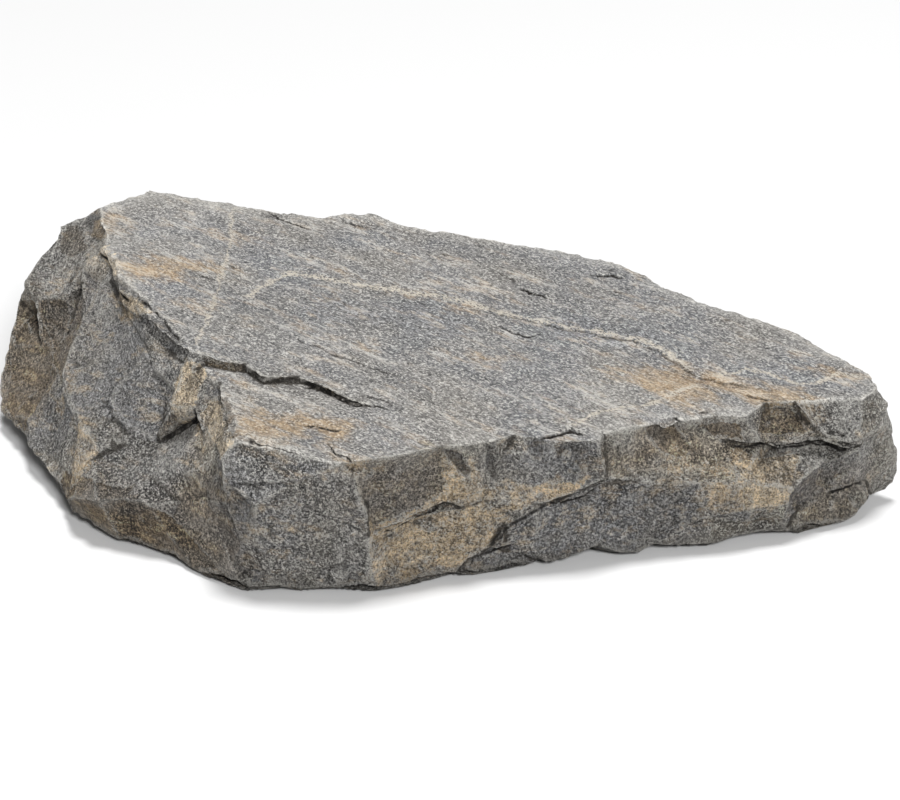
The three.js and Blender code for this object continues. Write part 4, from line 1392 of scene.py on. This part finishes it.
class StoneShapeSettings(bpy.types.PropertyGroup):
    """Heights of the relief, in millimetres"""

    top_swell: length_setting("Top swell", "Height of the gentle swell of the top", 0.3)
    top_scarp: length_setting("Top scarps", "Height of the low scarps across the top", 1.4)
    side_swell: length_setting("Side swell", "Height of the swell of the broken sides", 0.3)
    side_grain: length_setting("Side grain", "Height of the fine grain of the sides", 0.16)
    chips: length_setting("Chips", "Height of the flat chips on the sides", 1.0)
    beds: length_setting("Beds", "How far the thin layers stand out of the sides", 1.1)
    rim_bite: length_setting("Rim chips", "Depth of the bites out of the sharp edges", 1.7)


class StoneColourSettings(bpy.types.PropertyGroup):
    """Colours of the minerals and the weathering, some also used for painted shade and highlight"""

    cool_grey: colour_setting("Cool grey", "Fresh rock of the top", (0.15, 0.152, 0.158))
    warm_grey: colour_setting("Warm grey", "Weathered rock of the top", (0.18, 0.172, 0.16))
    side_cool: colour_setting("Side grey", "Fresh rock of the sides", (0.16, 0.155, 0.148))
    side_warm: colour_setting("Side warm grey", "Weathered sides", (0.178, 0.161, 0.134))
    blue_grey: colour_setting("Blue grey", "Freshest breaks", (0.125, 0.126, 0.129))
    pale_grey: colour_setting("Pale grey", "Crushed rock", (0.26, 0.255, 0.245))
    brown: colour_setting("Brown", "Earthy brown weathering", (0.096, 0.073, 0.048))
    pale_ochre: colour_setting("Pale ochre", "Light iron stain", (0.34, 0.236, 0.126))
    ochre: colour_setting("Ochre", "Deep iron stain", (0.265, 0.165, 0.074))
    khaki: colour_setting("Khaki", "Iron stain of the sides", (0.72, 0.57, 0.375))
    quartz: colour_setting("Quartz", "Light grains", (0.68, 0.66, 0.62))
    stained: colour_setting("Stained quartz", "Light grains in a stain", (0.69, 0.6, 0.48))
    mica: colour_setting("Mica", "Dark grains", (0.03, 0.03, 0.031))
    tan: colour_setting("Tan", "Clean pale breaks", (0.58, 0.47, 0.325))
    vein: colour_setting("Vein", "Pale veins", (0.56, 0.51, 0.43))
    # Worn edge colour: pale of wear and painted highlight on edges, ridges and borders.
    worn: colour_setting("Worn edge", "Rubbed corners and ridges", (0.62, 0.6, 0.555))
    # Crevice colour: grime and painted shade in hollows, inner corners and at the foot.
    crevice_dirt_and_shade: colour_setting("Crevice", "Hollows and the foot", (0.04, 0.034, 0.027))
    # Crack colour: open cracks and painted shadow at the foot of each step.
    crack_and_shadow: colour_setting("Crack", "Open cracks", (0.012, 0.01, 0.008))


class StoneStageSettings(bpy.types.PropertyGroup):
    """The floor and the light"""

    key_power: FloatProperty(
        name="Key light", description="Power of the large light above and behind",
        default=168, min=0, unit="POWER",
    )
    fill_power: FloatProperty(
        name="Fill light", description="Power of the soft light in front",
        default=158, min=0, unit="POWER",
    )
    sky: FloatProperty(
        name="Sky", description="Strength of the even light from all round", default=0.22, min=0,
    )
    floor: colour_setting("Floor", "Colour of the plain floor", (0.59, 0.59, 0.59))


# Operators.

class STONE_OT_break_surface(bpy.types.Operator):
    """Builds the stone's broken surface over the faceted solid"""

    bl_idname = "stone.break_surface"
    bl_label = "Break Surface"

    def execute(self, context):
        noise.seed_set(NOISE_SEED)
        surface = Surface(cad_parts["stone"], context.scene.stone_shape)
        surface.tint_facets()
        surface.break_up()
        surface.draw_in_foot()
        surface.draw_lines()
        surface.read_form()
        stone = surface.to_object("stone_surface")
        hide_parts("stone")
        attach(stone, "root")
        return {"FINISHED"}


class STONE_OT_finish_rock(bpy.types.Operator):
    """Gives the stone its mineral colours, weathering, painted shade and highlight, and fine grain
    """

    bl_idname = "stone.finish_rock"
    bl_label = "Finish Rock"

    def execute(self, context):
        stone = bpy.data.objects.get("stone_surface")
        if stone is None:
            raise RuntimeError("the stone has no surface yet: run Break Surface first")
        stone.data.materials.append(rock_material(context.scene.stone_colours))
        return {"FINISHED"}


def aim(thing, place, target):
    """Puts a lamp or camera at a place, turned towards the target."""
    thing.location = place
    thing.rotation_euler = (Vector(target) - Vector(place)).to_track_quat("-Z", "Y").to_euler()


class STONE_OT_set_stage(bpy.types.Operator):
    """Sets the floor, the lights, the sky and the camera round the stone"""

    bl_idname = "stone.set_stage"
    bl_label = "Set Stage"

    LAMP_DISTANCE = 4000.0
    LAMP_TARGET = (0, 0, 30.0)
    CAMERA_DISTANCE = 892.5
    CAMERA_ELEVATION = math.radians(25)
    CAMERA_LENS, CAMERA_SENSOR = 100.0, 36
    AIM_POINT = (5.87, -6.74, 30.1)
    FLOOR_WIDTH = 9000.0

    def area_light(self, name, power, size, direction):
        light = bpy.data.lights.new(name, "AREA")
        light.shape = "DISK"
        light.size = size * MM
        light.energy = power
        lamp = bpy.data.objects.new(name, light)
        bpy.context.scene.collection.objects.link(lamp)
        way = Vector(direction).normalized()
        aim(lamp, way * self.LAMP_DISTANCE * MM, Vector(self.LAMP_TARGET) * MM)

    def lay_floor(self, colour):
        half = self.FLOOR_WIDTH * MM / 2
        mesh = bpy.data.meshes.new("floor")
        corners = [(-half, -half, 0), (half, -half, 0), (half, half, 0), (-half, half, 0)]
        mesh.from_pydata(corners, [], [(0, 1, 2, 3)])
        floor = bpy.data.objects.new("floor", mesh)
        bpy.context.scene.collection.objects.link(floor)
        material = bpy.data.materials.new("floor")
        nodes = Nodes(material)
        nodes.finish(nodes.make("ShaderNodeBsdfDiffuse", {}, {"Color": colour}))
        mesh.materials.append(material)

    def light_sky(self, scene, strength):
        world = bpy.data.worlds.new("sky")
        world.use_nodes = True
        sky = world.node_tree.nodes["Background"]
        sky.inputs["Color"].default_value = (1, 1, 1, 1)
        sky.inputs["Strength"].default_value = strength
        scene.world = world
        scene.view_settings.view_transform = "Standard"

    def place_camera(self, scene):
        lens = bpy.data.cameras.new("camera")
        lens.lens = self.CAMERA_LENS
        lens.sensor_width = self.CAMERA_SENSOR
        camera = bpy.data.objects.new("camera", lens)
        scene.collection.objects.link(camera)
        target = Vector(self.AIM_POINT) * MM
        back = Vector((0, -math.cos(self.CAMERA_ELEVATION), math.sin(self.CAMERA_ELEVATION)))
        aim(camera, target + back * self.CAMERA_DISTANCE * MM, target)
        scene.camera = camera

    def execute(self, context):
        settings = context.scene.stone_stage
        self.lay_floor(settings.floor)
        self.area_light("key", settings.key_power, size=1000, direction=(0.05, 0.09, 1.0))
        self.area_light("fill", settings.fill_power, size=900, direction=(0.28, -1.0, 0.72))
        self.light_sky(context.scene, settings.sky)
        self.place_camera(context.scene)
        return {"FINISHED"}


class STONE_PT_panel(bpy.types.Panel):
    """Lists the steps that dress the stone"""

    bl_idname = "STONE_PT_panel"
    bl_label = "Stone Sample"
    bl_space_type = "VIEW_3D"
    bl_region_type = "UI"
    bl_category = "Stone"

    def draw(self, context):
        scene = context.scene
        for step, settings in (
            (STONE_OT_break_surface, scene.stone_shape),
            (STONE_OT_finish_rock, scene.stone_colours),
            (STONE_OT_set_stage, scene.stone_stage),
        ):
            box = self.layout.box()
            for name in settings.__annotations__:
                box.prop(settings, name)
            box.operator(step.bl_idname)


CLASSES = (
    StoneShapeSettings, StoneColourSettings, StoneStageSettings,
    STONE_OT_break_surface, STONE_OT_finish_rock, STONE_OT_set_stage, STONE_PT_panel,
)
SETTINGS = {
    "stone_shape": StoneShapeSettings,
    "stone_colours": StoneColourSettings,
    "stone_stage": StoneStageSettings,
}


def register():
    for item in CLASSES:
        bpy.utils.register_class(item)
    for name, group in SETTINGS.items():
        setattr(bpy.types.Scene, name, PointerProperty(type=group))


def unregister():
    for name in SETTINGS:
        delattr(bpy.types.Scene, name)
    for item in reversed(CLASSES):
        bpy.utils.unregister_class(item)


def main():
    register()
    bpy.ops.stone.break_surface()
    bpy.ops.stone.finish_rock()
    bpy.ops.stone.set_stage()


if __name__ == "__main__":
    main()
